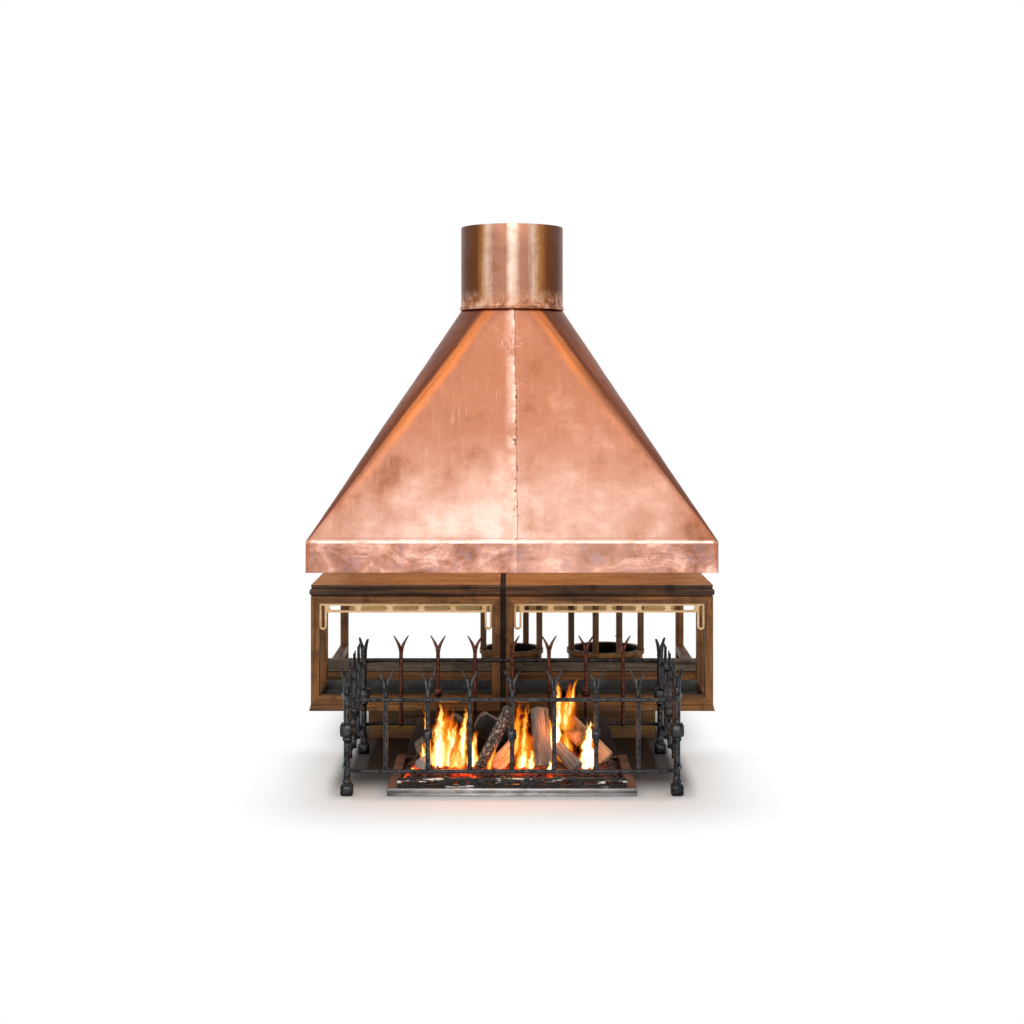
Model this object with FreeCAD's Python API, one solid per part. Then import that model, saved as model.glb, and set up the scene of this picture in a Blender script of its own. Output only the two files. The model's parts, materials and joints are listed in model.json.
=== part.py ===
# Open gas fire under a copper hood. A burner tray with ceramic logs stands inside a wrought fence,
# a two-bay timber console stands behind it, and the hood is carried on the console's boards.
import FreeCAD, Part
import math
import os

V = FreeCAD.Vector
RIGHT = V(1, 0, 0)
BACK = V(0, 1, 0)
UP = V(0, 0, 1)

# Sizes are millimetres. Depths run back from the axis of the fence's front rail, heights from the floor.
clear = 0.3
overrun = 5
quarter = 90
sides = 4

# Hood: flue collar, square-to-round canopy, skirt, support ring and standoffs
flue_d = 315
flue_wall = 2
flue_top = 1594
flue_bead = 4
flue_bead_h = 7
hood_w = 1134
hood_front = 128
hood_sheet = 3
hood_corner_folds = 8
canopy_top = 1339
skirt_top = 680
skirt_bottom = 592
skirt_hem = 14
ring_leg = 30
ring_wall = 4
standoff_d = 16
standoff_foot = 40
standoff_foot_t = 5
standoff_pitch = 137
standoff_back_set = 47

# Console: two boards over two framed bays, and a narrower gallery at the rear
console_w = 1256
console_front = 727
console_back = 1262
bay_gap = 17
bay_gap_x = -28
board_top = 484
board_t = 36
board_nose = 28
board_quirk = 5
board_over = 4
stile_w = 26
top_rail_w = 23
bottom_rail_w = 27
facing_t = 26
base_t = 19.5
base_flare = 5
case_floor = 111
slate_t = 8
apron_t = 10
apron_set = 8
apron_h = 28
apron_pitch = 98
apron_web = 16
apron_slot_h = 15
hanger_w = 23
hanger_drop = 82
hanger_slot_w = 11
divider_set = 4
spine_drop = 8
riser_t = 16
riser_step = 6
riser_step_h = 36
cap_t = 13
cap_deep = 28
riser_top = 214
gallery_set = 38
gallery_rail_h = 26
gallery_post = 26
rear_rail_t = 14
frieze_h = 123

# Drums that stand on the gallery deck, with their posts
drum_top = 226
drum_rim = 22
drum_rim_h = 16
drum_wall = 11
drum_floor = 10
drum_post = 20
drum_gap = 6.5
right_drum_r = 130
right_drum_x_share = 0.5322
right_drum_turns = (-77, -19, 19, 77)
centre_drum_x = -2
centre_drum_r = 107
centre_drum_turns = (-77, 77, 149)

# Plinth and hearth plate
plinth_set = 180
plinth_front_y = 735
plinth_back_set = 30
plinth_board = 20
plate_w = 840
plate_front = 340
plate_t = 5
plate_notch_gap = 2

# Burner tray, grate, fireback and gas line
tray_w = 674
tray_front = 46
tray_back = 446
tray_h = 20
tray_sheet = 3
tray_rim = 26
bar_deep = 12
bar_groove = 2
bar_groove_low = 5
bar_groove_high = 8
grate_t = 8
grate_h = 24
grate_set = 4
grate_slots = 9
grate_slot_h = 9
grate_web = 22
fireback_base = 624
fireback_top = 556
fireback_h = 111
fireback_t = 4
fireback_inset = 10
burner_d = 16
burner_len = 520
burner_y = 236
pipe_d = 10
pipe_hole_gap = 1
pipe_nut_d = 18
pipe_nut_t = 6
tap_front = 520
tap_len = 40
tap_w = 26
tap_h = 22
spindle_d = 8
spindle_h = 11
lever_hub_d = 18
lever_hub_h = 9
lever_len = 48
lever_w = 9
lever_t = 5

# Ember bed and logs. A log is its two ends, its radius and how far its far end narrows
bed_gap = 3
bed_front = 84
bed_back = 418
bed_top = 44
bed_slope = 40
log_sides = 8
log_waist_share = 0.94
log_lobe_shares = (1.00, 0.93, 1.04, 0.95, 1.02, 0.90, 1.05, 0.97)
logs = {
    "upright_log": (V(86, 196, 40), V(79, 276, 190), 28, 0.90),
    "charred_log": (V(-88, 204, 36), V(-8, 300, 186), 20, 0.85),
    "right_log": (V(262, 250, 46), V(134, 318, 166), 32, 0.86),
    "left_back_log": (V(-262, 372, 46), V(-146, 330, 142), 35, 0.88),
    "back_log": (V(30, 392, 52), V(-92, 342, 144), 33, 0.88),
    "left_small_log": (V(-252, 158, 56), V(-216, 300, 60), 18, 0.92),
    "front_log": (V(180, 162, 46), V(126, 222, 98), 20, 0.88),
    "centre_log": (V(-52, 186, 40), V(16, 236, 108), 24, 0.84),
}

# Fence: two bent rails, corner posts on block feet, and bars that end in a fork
fence_w = 910
fence_deep = 612
fence_corner_r = 60
rail_d = 11
rail_low = 78
rail_high = 269
bar_flats = 8
bar_d = 12
bar_low = 71
bar_pitch = 112.5
bars_across = 7
bars_along = 3
post_d = 14
foot_w = 34
foot_h = 24
foot_round = 9
foot_shoulder_d = 22
foot_shoulder_h = 8
foot_neck_d = 20
foot_neck_h = 7
fork_root = 296
fork_tip = 345
fork_spread = 48
fork_tip_w = 4
fork_root_t = 11
fork_tip_t = 4
fork_crotch_share = 0.42
fork_shares = (0, 0.21, 0.42, 0.60, 0.80, 1)
fork_outer_curl = 1.6
fork_inner_curl = 1.2
collar_mid = 168
collar_d = 24
collar_h = 32
collar_profile_shares = ((0.60, -0.46), (0.82, -0.40), (0.82, -0.26), (0.68, -0.20), (0.92, -0.10), (1, 0.12),
                         (0.92, 0.34), (0.60, 0.46))

# Places that several pieces share
hood_mid = hood_front + hood_w / 2
hood_back = hood_front + hood_w
origin_y = (max(hood_back, console_back) - rail_d / 2) / 2
board_low = board_top - board_t
base_low = case_floor - base_t
left_bay = (-console_w / 2, bay_gap_x - bay_gap / 2)
right_bay = (bay_gap_x + bay_gap / 2, console_w / 2)
facing_back = console_front + facing_t
opening_top = board_low - top_rail_w
gallery_deep = 2 * (right_drum_r + drum_gap) + rear_rail_t
case_back = console_back - gallery_deep
riser_front = case_back - (cap_deep + riser_t) / 2
gallery_front = case_back
gallery_w = console_w - 2 * gallery_set
drum_mid = gallery_front + drum_gap + right_drum_r
right_drum_x = gallery_w / 2 * right_drum_x_share
standoff_back = min(hood_back, console_back) - standoff_back_set
standoff_front = standoff_back - standoff_pitch
plinth_w = console_w - 2 * plinth_set
plinth_back_y = console_back - plinth_back_set
tray_low_y = tray_front + bar_deep
pipe_z = tray_sheet + burner_d / 2
tap_mid = tap_front + tap_len / 2
bar_set = rail_d / 2 + bar_d / 2 + clear
post_set = rail_d / 2 + post_d / 2 + clear


def box(x0, x1, y0, y1, z0, z1):
    """Block between two corners."""
    return Part.makeBox(x1 - x0, y1 - y0, z1 - z0, V(x0, y0, z0))


def prism(points, direction):
    """Solid on a closed outline of points."""
    return Part.Face(Part.makePolygon(points + points[:1])).extrude(direction)


def rod(diameter, start, end):
    """Round bar from one point to another."""
    return Part.makeCylinder(diameter / 2, (end - start).Length, start, end - start)


def join(shapes):
    """One solid from shapes that meet."""
    return shapes[0].multiFuse(shapes[1:]).removeSplitter()


def skin(rings):
    """Solid with flat sides through rings of points, each ring in line with the one before it."""
    count = len(rings[0])
    faces = [rings[0], rings[-1]]
    for low, high in zip(rings, rings[1:]):
        for index in range(count):
            after = (index + 1) % count
            faces.append([low[index], low[after], high[after], high[index]])
    shell = Part.makeShell([Part.Face(Part.makePolygon(points + points[:1])) for points in faces])
    return Part.makeSolid(shell)


def spin(profile):
    """Solid turned about the vertical axis from radius and height pairs."""
    points = [V(radius, 0, z) for radius, z in profile]
    return Part.Face(Part.makePolygon(points + points[:1])).revolve(V(0, 0, 0), UP, sides * quarter)


def placed(shape, x, y, z, turn):
    """Copy of a shape, turned about the vertical axis and set at a place."""
    copy = shape.copy()
    copy.rotate(V(0, 0, 0), UP, turn)
    copy.translate(V(x, y, z))
    return copy


def stadium(middle, length, height):
    """Round-ended slot outline in the upright plane across the object, longer across than up."""
    radius = height / 2
    reach = length / 2 - radius
    low_left = middle + V(-reach, 0, -radius)
    low_right = middle + V(reach, 0, -radius)
    high_left = middle + V(-reach, 0, radius)
    high_right = middle + V(reach, 0, radius)
    edges = [
        Part.LineSegment(low_left, low_right).toShape(),
        Part.Arc(low_right, middle + V(reach + radius, 0, 0), high_right).toShape(),
        Part.LineSegment(high_right, high_left).toShape(),
        Part.Arc(high_left, middle - V(reach + radius, 0, 0), low_left).toShape(),
    ]
    return Part.Wire(edges)


def slot(middle, length, height, depth):
    """Cutter for one slot, upright where the height is the longer side."""
    if length >= height:
        outline = stadium(middle, length, height)
    else:
        outline = stadium(middle, height, length)
        outline.rotate(middle, BACK, quarter)
    cutter = Part.Face(outline).extrude(BACK * (depth + 2 * overrun))
    cutter.translate(BACK * -(depth / 2 + overrun))
    return cutter


def keep(name, shapes):
    """Write a sub-part, moved so that the origin is under the middle of the object."""
    shape = shapes[0].copy() if len(shapes) == 1 else Part.makeCompound(shapes)
    shape.translate(V(0, -origin_y, 0))
    shape.exportStep("parts/" + name + ".step")


# Hood
def hood_block(half, low, high):
    """Upright square block about the hood's centre line."""
    return box(-half, half, hood_mid - half, hood_mid + half, low, high)


def square_to_round(half, radius, low, high):
    """Block from a square up to a circle: a flat triangle on each side, and at each corner a cone of folds."""
    fold = quarter / hood_corner_folds
    corners = [V(half * x, hood_mid + half * y, low) for x, y in ((1, -1), (1, 1), (-1, 1), (-1, -1))]
    circle = []
    for index in range(sides * hood_corner_folds):
        angle = math.radians(index * fold)
        circle.append(V(radius * math.cos(angle), hood_mid + radius * math.sin(angle), high))
    faces = [corners, circle]
    for side in range(sides):
        top = side * hood_corner_folds
        corner = corners[(side + 1) % sides]
        faces.append([corners[side], corner, circle[top]])
        for index in range(top, top + hood_corner_folds):
            faces.append([corner, circle[index], circle[(index + 1) % len(circle)]])
    shell = Part.makeShell([Part.Face(Part.makePolygon(points + points[:1])) for points in faces])
    return Part.makeSolid(shell)


def hood_pieces():
    half = hood_w / 2
    inner = half - hood_sheet
    flue_r = flue_d / 2
    outside = square_to_round(half, flue_r, skirt_top, canopy_top)
    inside = square_to_round(inner, flue_r - hood_sheet, skirt_top, canopy_top)
    keep("hood_canopy", [outside.cut(inside)])

    skirt = hood_block(half, skirt_bottom, skirt_top)
    skirt = skirt.cut(hood_block(inner, skirt_bottom + hood_sheet, skirt_top + overrun))
    skirt = skirt.cut(hood_block(half - skirt_hem, skirt_bottom - overrun, skirt_top))
    keep("hood_skirt", [skirt])

    ring_half = inner - clear
    ring_low = skirt_bottom + hood_sheet
    ring = hood_block(ring_half, ring_low, ring_low + ring_leg)
    ring = ring.cut(hood_block(ring_half - ring_wall, ring_low + ring_wall, ring_low + ring_leg + overrun))
    ring = ring.cut(hood_block(ring_half - ring_leg, ring_low - overrun, ring_low + ring_leg))
    keep("support_ring", [ring])

    collar = spin([(flue_r - flue_wall, canopy_top), (flue_r + flue_bead, canopy_top),
                   (flue_r + flue_bead, canopy_top + flue_bead_h), (flue_r, canopy_top + 2 * flue_bead_h),
                   (flue_r, flue_top), (flue_r - flue_wall, flue_top)])
    keep("flue_collar", [placed(collar, 0, hood_mid, 0, 0)])

    foot_half = standoff_foot / 2
    seat_x = (ring_half - ring_leg + half - skirt_hem) / 2
    standoffs = []
    for x in (-seat_x, seat_x):
        for y in (standoff_front, standoff_back):
            foot = box(x - foot_half, x + foot_half, y - foot_half, y + foot_half,
                       board_top, board_top + standoff_foot_t)
            stem = rod(standoff_d, V(x, y, board_top), V(x, y, ring_low))
            standoffs.append(join([foot, stem]))
    keep("hood_standoffs", standoffs)


# Console
def nose_profile():
    """Half of a board's edge as (distance in, height) pairs: a round nose under a quirk and a thin top."""
    radius = board_nose / 2
    return (radius, board_low), (0, board_low + radius), (radius, board_low + board_nose)


def board_section(to_point, deep):
    """Face of a board's section, from its nosed edge back."""
    start, crown, end = [to_point(inset, z) for inset, z in nose_profile()]
    corners = [end, to_point(board_quirk, board_low + board_nose), to_point(board_quirk, board_top),
               to_point(deep, board_top), to_point(deep, board_low), start]
    lines = [Part.LineSegment(a, b).toShape() for a, b in zip(corners, corners[1:])]
    return Part.Face(Part.Wire([Part.Arc(start, crown, end).toShape()] + lines))


def board(outer_x, inner_x):
    """Board with its nose along the front and the outer end, mitred where the two meet."""
    front_y = console_front - board_over
    facing = math.copysign(1, inner_x - outer_x)
    length = abs(inner_x - outer_x)
    along = board_section(lambda inset, z: V(outer_x, front_y + inset, z), console_back - front_y)
    across = board_section(lambda inset, z: V(outer_x + facing * inset, front_y, z), length)
    return along.extrude(RIGHT * facing * length).common(across.extrude(BACK * (console_back - front_y)))


def base_board(outer_x, inner_x):
    """Floor board of a bay, with a flared lower edge along the front and the outer end."""
    facing = math.copysign(1, inner_x - outer_x)
    wide_x = outer_x - facing * base_flare
    wide_y = console_front - base_flare
    along = prism([V(wide_x, wide_y, base_low), V(wide_x, console_front, case_floor),
                   V(wide_x, case_back, case_floor), V(wide_x, case_back, base_low)],
                  RIGHT * (inner_x - wide_x))
    across = prism([V(wide_x, wide_y, base_low), V(outer_x, wide_y, case_floor),
                    V(inner_x, wide_y, case_floor), V(inner_x, wide_y, base_low)],
                   BACK * (case_back - wide_y))
    return along.common(across)


def facing_frame(left, right):
    """Two stiles and two rails, mitred at the corners."""
    outer = [V(left, console_front, case_floor), V(right, console_front, case_floor),
             V(right, console_front, board_low), V(left, console_front, board_low)]
    inner = [outer[0] + V(stile_w, 0, bottom_rail_w), outer[1] + V(-stile_w, 0, bottom_rail_w),
             outer[2] + V(-stile_w, 0, -top_rail_w), outer[3] + V(stile_w, 0, -top_rail_w)]
    members = []
    for corner in range(sides):
        after = (corner + 1) % sides
        members.append(prism([outer[corner], outer[after], inner[after], inner[corner]], BACK * facing_t))
    return members


def apron(left, right):
    """Pierced strip under a top rail, with a round-ended hanger at each end."""
    front_y = console_front + apron_set
    low = opening_top - apron_h
    radius = hanger_w / 2
    strip = box(left, right, front_y, front_y + apron_t, low, opening_top)
    pieces = [strip]
    cutters = []
    for x in (left + radius, right - radius):
        end_z = opening_top - hanger_drop + radius
        pieces.append(box(x - radius, x + radius, front_y, front_y + apron_t, end_z, opening_top))
        pieces.append(rod(hanger_w, V(x, front_y, end_z), V(x, front_y + apron_t, end_z)))
        slot_h = hanger_drop - (hanger_w - hanger_slot_w)
        middle = V(x, front_y + apron_t / 2, opening_top - hanger_drop / 2)
        cutters.append(slot(middle, hanger_slot_w, slot_h, apron_t))
    run = right - left - 2 * hanger_w
    count = max(1, round(run / apron_pitch))
    pitch = run / count
    for index in range(count):
        middle = V(left + hanger_w + (index + 0.5) * pitch, front_y + apron_t / 2, (low + opening_top) / 2)
        cutters.append(slot(middle, pitch - apron_web, apron_slot_h, apron_t))
    return join(pieces).cut(Part.makeCompound(cutters))


def side_rails(outer_x, inner_x):
    """Low and high rails of a bay's outer side, between the facing and the mid post."""
    x0 = min(outer_x, inner_x)
    x1 = max(outer_x, inner_x)
    back = case_back - stile_w
    low = box(x0, x1, facing_back, back, case_floor, case_floor + bottom_rail_w)
    high = box(x0, x1, facing_back, back, opening_top, board_low)
    return [low, high]


def console_pieces():
    edge = console_w / 2
    bays = {"left": (left_bay[0], left_bay[1], -1), "right": (right_bay[1], right_bay[0], 1)}
    mid_posts = []
    for name, (outer_x, inner_x, hand) in bays.items():
        left = min(outer_x, inner_x)
        right = max(outer_x, inner_x)
        post_x = outer_x - hand * stile_w
        keep(name + "_board", [board(outer_x + hand * board_over, inner_x)])
        keep(name + "_base_board", [base_board(outer_x, inner_x)])
        keep(name + "_facing_frame", facing_frame(left, right))
        keep(name + "_apron", [apron(left + stile_w, right - stile_w)])
        keep(name + "_side_rails", side_rails(outer_x, post_x))
        mid_posts.append(box(min(outer_x, post_x), max(outer_x, post_x), case_back - stile_w, case_back,
                             case_floor, board_low))
        slate = box(min(inner_x, post_x), max(inner_x, post_x), facing_back, riser_front - riser_step,
                    case_floor, case_floor + slate_t)
        keep(name + "_floor_slate", [slate])

    keep("mid_posts", mid_posts)
    post = box(left_bay[1], right_bay[0], console_front + divider_set, facing_back, base_low, board_low)
    spine = box(left_bay[1], right_bay[0], console_front + divider_set, console_back, board_low,
                board_top - spine_drop)
    keep("centre_divider", [join([post, spine])])

    half = edge - stile_w
    low_y = riser_front - riser_step
    riser = prism([V(-half, low_y, case_floor), V(-half, low_y, case_floor + riser_step_h),
                   V(-half, riser_front, case_floor + riser_step_h), V(-half, riser_front, riser_top - cap_t),
                   V(-half, riser_front + riser_t, riser_top - cap_t),
                   V(-half, riser_front + riser_t, case_floor)], RIGHT * 2 * half)
    keep("riser_board", [riser])
    cap_front = gallery_front - cap_deep
    keep("riser_cap", [box(-half, half, cap_front, gallery_front, riser_top - cap_t, riser_top)])

    gallery_half = gallery_w / 2
    post_in = gallery_half - gallery_post
    post_front = console_back - gallery_post
    keep("gallery_deck", [box(-gallery_half, gallery_half, gallery_front, console_back, base_low, case_floor)])
    side_bars = []
    posts = []
    for x0 in (-gallery_half, post_in):
        x1 = x0 + gallery_post
        side_bars.append(box(x0, x1, gallery_front, post_front, riser_top - gallery_rail_h, riser_top))
        posts.append(box(x0, x1, post_front, console_back, case_floor, board_low))
    keep("gallery_side_rails", side_bars)
    keep("gallery_posts", posts)
    rails = []
    for low, high in ((case_floor, case_floor + gallery_rail_h), (board_low - frieze_h, board_low)):
        rails.append(box(-post_in, post_in, console_back - rear_rail_t, console_back, low, high))
    keep("gallery_rear_rails", rails)


def drum(radius):
    """Turned tub with a broad rim, standing on the gallery deck."""
    shell = radius - drum_rim / 4
    return spin([(0, case_floor), (shell, case_floor), (shell, drum_top - drum_rim_h),
                 (radius, drum_top - drum_rim_h), (radius, drum_top), (radius - drum_rim, drum_top),
                 (radius - drum_rim, drum_top - drum_rim_h), (shell - drum_wall, drum_top - drum_rim_h),
                 (shell - drum_wall, case_floor + drum_floor), (0, case_floor + drum_floor)])


def drum_posts(x, radius, turns):
    """Square posts on a drum's rim, at turns measured from its front."""
    half = drum_post / 2
    post = box(-half, half, -half, half, drum_top, board_low)
    circle = radius - drum_rim / 2
    posts = []
    for turn in turns:
        angle = math.radians(turn)
        posts.append(placed(post, x + circle * math.sin(angle), drum_mid - circle * math.cos(angle), 0, 0))
    return posts


def drum_pieces():
    for name, x, radius, turns in (("centre", centre_drum_x, centre_drum_r, centre_drum_turns),
                                   ("right", right_drum_x, right_drum_r, right_drum_turns)):
        keep(name + "_drum", [placed(drum(radius), x, drum_mid, 0, 0)])
        keep(name + "_drum_posts", drum_posts(x, radius, turns))


def plinth_pieces():
    half = plinth_w / 2
    hole = rod(pipe_d + 2 * pipe_hole_gap, V(0, plinth_front_y - overrun, pipe_z),
               V(0, console_back + overrun, pipe_z))
    front = box(-half, half, plinth_front_y, plinth_front_y + plinth_board, 0, base_low)
    keep("plinth_front", [front.cut(hole)])
    carcass = box(-half, half, plinth_front_y + plinth_board, plinth_back_y, 0, base_low)
    hollow = box(-half + plinth_board, half - plinth_board, plinth_front_y, plinth_back_y - plinth_board,
                 -overrun, base_low + overrun)
    keep("plinth_carcass", [carcass.cut(hollow).cut(hole)])

    plate = box(-plate_w / 2, plate_w / 2, plate_front, plinth_front_y, 0, plate_t)
    notch_half = tray_w / 2 + plate_notch_gap
    notch = box(-notch_half, notch_half, plate_front - overrun, tray_back + plate_notch_gap,
                -overrun, plate_t + overrun)
    keep("hearth_plate", [plate.cut(notch)])


# Fire
def log_body(start, end, radius, far_share, growth):
    """Split log: a lobed section drawn along its axis, a little narrower at the waist and the far end."""
    axis = end - start
    turn = FreeCAD.Rotation(UP, axis)
    rings = []
    for share, width in ((0, 1), (0.5, log_waist_share * (1 + far_share) / 2), (1, far_share)):
        points = []
        for index in range(log_sides):
            angle = math.radians(index * sides * quarter / log_sides)
            reach = (radius * width + growth) * log_lobe_shares[index]
            points.append(start + axis * share + turn.multVec(V(reach * math.cos(angle),
                                                                reach * math.sin(angle), 0)))
        rings.append(points)
    return skin(rings)


def fire_pieces():
    half = tray_w / 2
    tray = box(-half, half, tray_low_y, tray_back, 0, tray_h)
    tray = tray.cut(box(-half + tray_sheet, half - tray_sheet, tray_low_y + tray_sheet,
                        tray_back - tray_sheet, tray_sheet, tray_h - tray_sheet))
    tray = tray.cut(box(-half + tray_rim, half - tray_rim, tray_low_y + tray_rim, tray_back - tray_rim,
                        tray_sheet, tray_h + overrun))
    pipe_hole = rod(pipe_d + 2 * pipe_hole_gap, V(0, burner_y, pipe_z), V(0, tray_back + overrun, pipe_z))
    keep("burner_tray", [tray.cut(pipe_hole)])
    groove_y = tray_front + bar_groove
    trim = prism([V(-half, tray_front, 0), V(-half, tray_front, bar_groove_low),
                  V(-half, groove_y, bar_groove_low), V(-half, groove_y, bar_groove_high),
                  V(-half, tray_front, bar_groove_high), V(-half, tray_front, tray_h),
                  V(-half, tray_low_y, tray_h), V(-half, tray_low_y, 0)], RIGHT * tray_w)
    keep("tray_front_bar", [trim])

    grate_half = half - tray_rim
    grate_y = tray_low_y + grate_set
    grate = box(-grate_half, grate_half, grate_y, grate_y + grate_t, tray_h, tray_h + grate_h)
    pitch = 2 * grate_half / grate_slots
    cutters = []
    for index in range(grate_slots):
        middle = V(-grate_half + (index + 0.5) * pitch, grate_y, tray_h + grate_h / 2)
        reach = (pitch - grate_web) / 2
        cutters.append(box(middle.x - reach, middle.x + reach, grate_y - overrun, grate_y + grate_t + overrun,
                           middle.z - grate_slot_h / 2, middle.z + grate_slot_h / 2))
    keep("front_grate", [grate.cut(Part.makeCompound(cutters))])

    back_y = tray_back - fireback_inset
    plate = prism([V(-fireback_base / 2, back_y, tray_h), V(fireback_base / 2, back_y, tray_h),
                   V(fireback_top / 2, back_y, tray_h + fireback_h),
                   V(-fireback_top / 2, back_y, tray_h + fireback_h)], BACK * fireback_t)
    keep("fireback", [plate])

    burner_half = burner_len / 2
    burner = rod(burner_d, V(-burner_half, burner_y, pipe_z), V(burner_half, burner_y, pipe_z))
    inlet = rod(pipe_d, V(0, burner_y, pipe_z), V(0, tap_front, pipe_z))
    keep("burner_pipe", [join([burner, inlet])])
    supply = rod(pipe_d, V(0, tap_front + tap_len, pipe_z), V(0, console_back, pipe_z))
    nut = rod(pipe_nut_d, V(0, plinth_back_y, pipe_z), V(0, plinth_back_y + pipe_nut_t, pipe_z))
    keep("supply_pipe", [join([supply, nut])])

    tap_top = plate_t + tap_h
    body = box(-tap_w / 2, tap_w / 2, tap_front, tap_front + tap_len, plate_t, tap_top)
    spindle = rod(spindle_d, V(0, tap_mid, plate_t), V(0, tap_mid, tap_top + spindle_h))
    keep("gas_tap_body", [join([body, spindle])])
    hub_low = tap_top + clear
    hub = rod(lever_hub_d, V(0, tap_mid, hub_low), V(0, tap_mid, hub_low + lever_hub_h))
    arm_low = hub_low + (lever_hub_h - lever_t) / 2
    arm = box(-lever_w / 2, lever_w / 2, tap_mid, tap_mid + lever_len, arm_low, arm_low + lever_t)
    bore = rod(spindle_d + 2 * clear, V(0, tap_mid, tap_top - overrun),
               V(0, tap_mid, tap_top + spindle_h + overrun))
    keep("gas_tap_lever", [join([hub, arm]).cut(bore)])

    bed_half = half - tray_rim - bed_gap
    base = [V(-bed_half, bed_front, tray_sheet), V(bed_half, bed_front, tray_sheet),
            V(bed_half, bed_back, tray_sheet), V(-bed_half, bed_back, tray_sheet)]
    crown = [V(-bed_half + bed_slope, bed_front + bed_slope, bed_top),
             V(bed_half - bed_slope, bed_front + bed_slope, bed_top),
             V(bed_half - bed_slope, bed_back - bed_slope, bed_top),
             V(-bed_half + bed_slope, bed_back - bed_slope, bed_top)]
    bed = skin([base, crown])
    bed = bed.cut(rod(burner_d + 2 * clear, V(-burner_half - clear, burner_y, pipe_z),
                      V(burner_half + clear, burner_y, pipe_z)))
    bed = bed.cut(rod(pipe_d + 2 * clear, V(0, burner_y, pipe_z), V(0, tray_back, pipe_z)))

    notches = []
    for name, (start, end, radius, far_share) in logs.items():
        log = log_body(start, end, radius, far_share, 0)
        for notch in notches:
            log = log.cut(notch)
        solids = sorted(log.Solids, key=lambda solid: solid.Volume)
        keep(name, [solids[-1]])
        notches.append(log_body(start, end, radius, far_share, clear))
    for notch in notches:
        bed = bed.cut(notch)
    keep("ember_bed", [max(bed.Solids, key=lambda solid: solid.Volume)])


# Fence
def flats(diameter):
    """Corners of a hammered bar's section in the plane of a level cut, flat to flat across the diameter."""
    radius = diameter / 2 / math.cos(math.pi / bar_flats)
    angles = [math.pi * (2 * index + 1) / bar_flats for index in range(bar_flats)]
    return [V(radius * math.cos(angle), radius * math.sin(angle), 0) for angle in angles]


def hammered_bar(stations):
    """Upright bar with flats, through (height, diameter) stations."""
    rings = []
    for z, diameter in stations:
        rings.append([point + V(0, 0, z) for point in flats(diameter)])
    return skin(rings)


def bead(scale):
    """Square forged bead with a swollen side, over a smaller ring."""
    rings = []
    for across, up in collar_profile_shares:
        half = collar_d * scale * across / 2
        z = collar_mid + collar_h * scale * up
        rings.append([V(half, half, z), V(-half, half, z), V(-half, -half, z), V(half, -half, z)])
    return skin(rings)


def rail_ring(z):
    """Hammered bar bent into a rectangle with round corners, which rests against the bars."""
    half = fence_w / 2
    inset = half - fence_corner_r
    middle = fence_deep / 2
    reach = middle - fence_corner_r
    section = [V(point.x, 0, point.y) for point in flats(rail_d)]
    pieces = []
    for turns, run, x, y in ((0, reach, inset, middle + reach), (1, inset, -inset, middle + reach),
                             (2, reach, -inset, middle - reach), (3, inset, inset, middle - reach)):
        points = [point + V(fence_corner_r, 0, 0) for point in section]
        face = Part.Face(Part.makePolygon(points + points[:1]))
        bend = face.revolve(V(0, 0, 0), UP, quarter)
        straight = face.extrude(BACK * -2 * run)
        pieces.append(placed(join([bend, straight]), x, y, z, turns * quarter))
    return join(pieces)


def tine(hand, root_d):
    """One horn of a fork: it leaves the bar beside its twin and curls outwards to a thin tip."""
    rings = []
    for share in fork_shares:
        z = fork_root + (fork_tip - fork_root) * share
        outer = root_d / 2 + (fork_spread / 2 - root_d / 2) * share ** fork_outer_curl
        opened = max(0, share - fork_crotch_share) / (1 - fork_crotch_share)
        inner = (fork_spread / 2 - fork_tip_w) * opened ** fork_inner_curl
        deep = (fork_root_t + (fork_tip_t - fork_root_t) * share) / 2
        points = [V(hand * inner, -deep, z), V(hand * outer, -deep, z), V(hand * outer, deep, z),
                  V(hand * inner, deep, z)]
        rings.append(points)
    return skin(rings)


def forked_bar(diameter, foot, has_collar):
    """Upright bar from its lowest stations, with a forged bead where it has one, to a fork across it."""
    pieces = [hammered_bar(list(foot) + [(fork_root, diameter)]), tine(-1, diameter), tine(1, diameter)]
    if has_collar:
        pieces.append(bead(diameter / bar_d))
    return join(pieces)


def corner_post(turn):
    """Forked post with a bead, its fork turned to the corner, on a block foot with a rounded top."""
    half = foot_w / 2
    block = box(-half, half, -half, half, 0, foot_h)
    top_edges = [edge for edge in block.Edges if edge.BoundBox.ZMin > foot_h / 2]
    block = block.makeChamfer(foot_round, top_edges)
    neck_low = foot_h + foot_shoulder_h
    neck_high = neck_low + foot_neck_h
    foot = [(foot_h / 2, foot_shoulder_d), (foot_h, foot_shoulder_d), (neck_low, post_d),
            (neck_low + foot_neck_h / 2, foot_neck_d), (neck_high, post_d)]
    return join([placed(forked_bar(post_d, foot, True), 0, 0, 0, turn), block])


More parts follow.
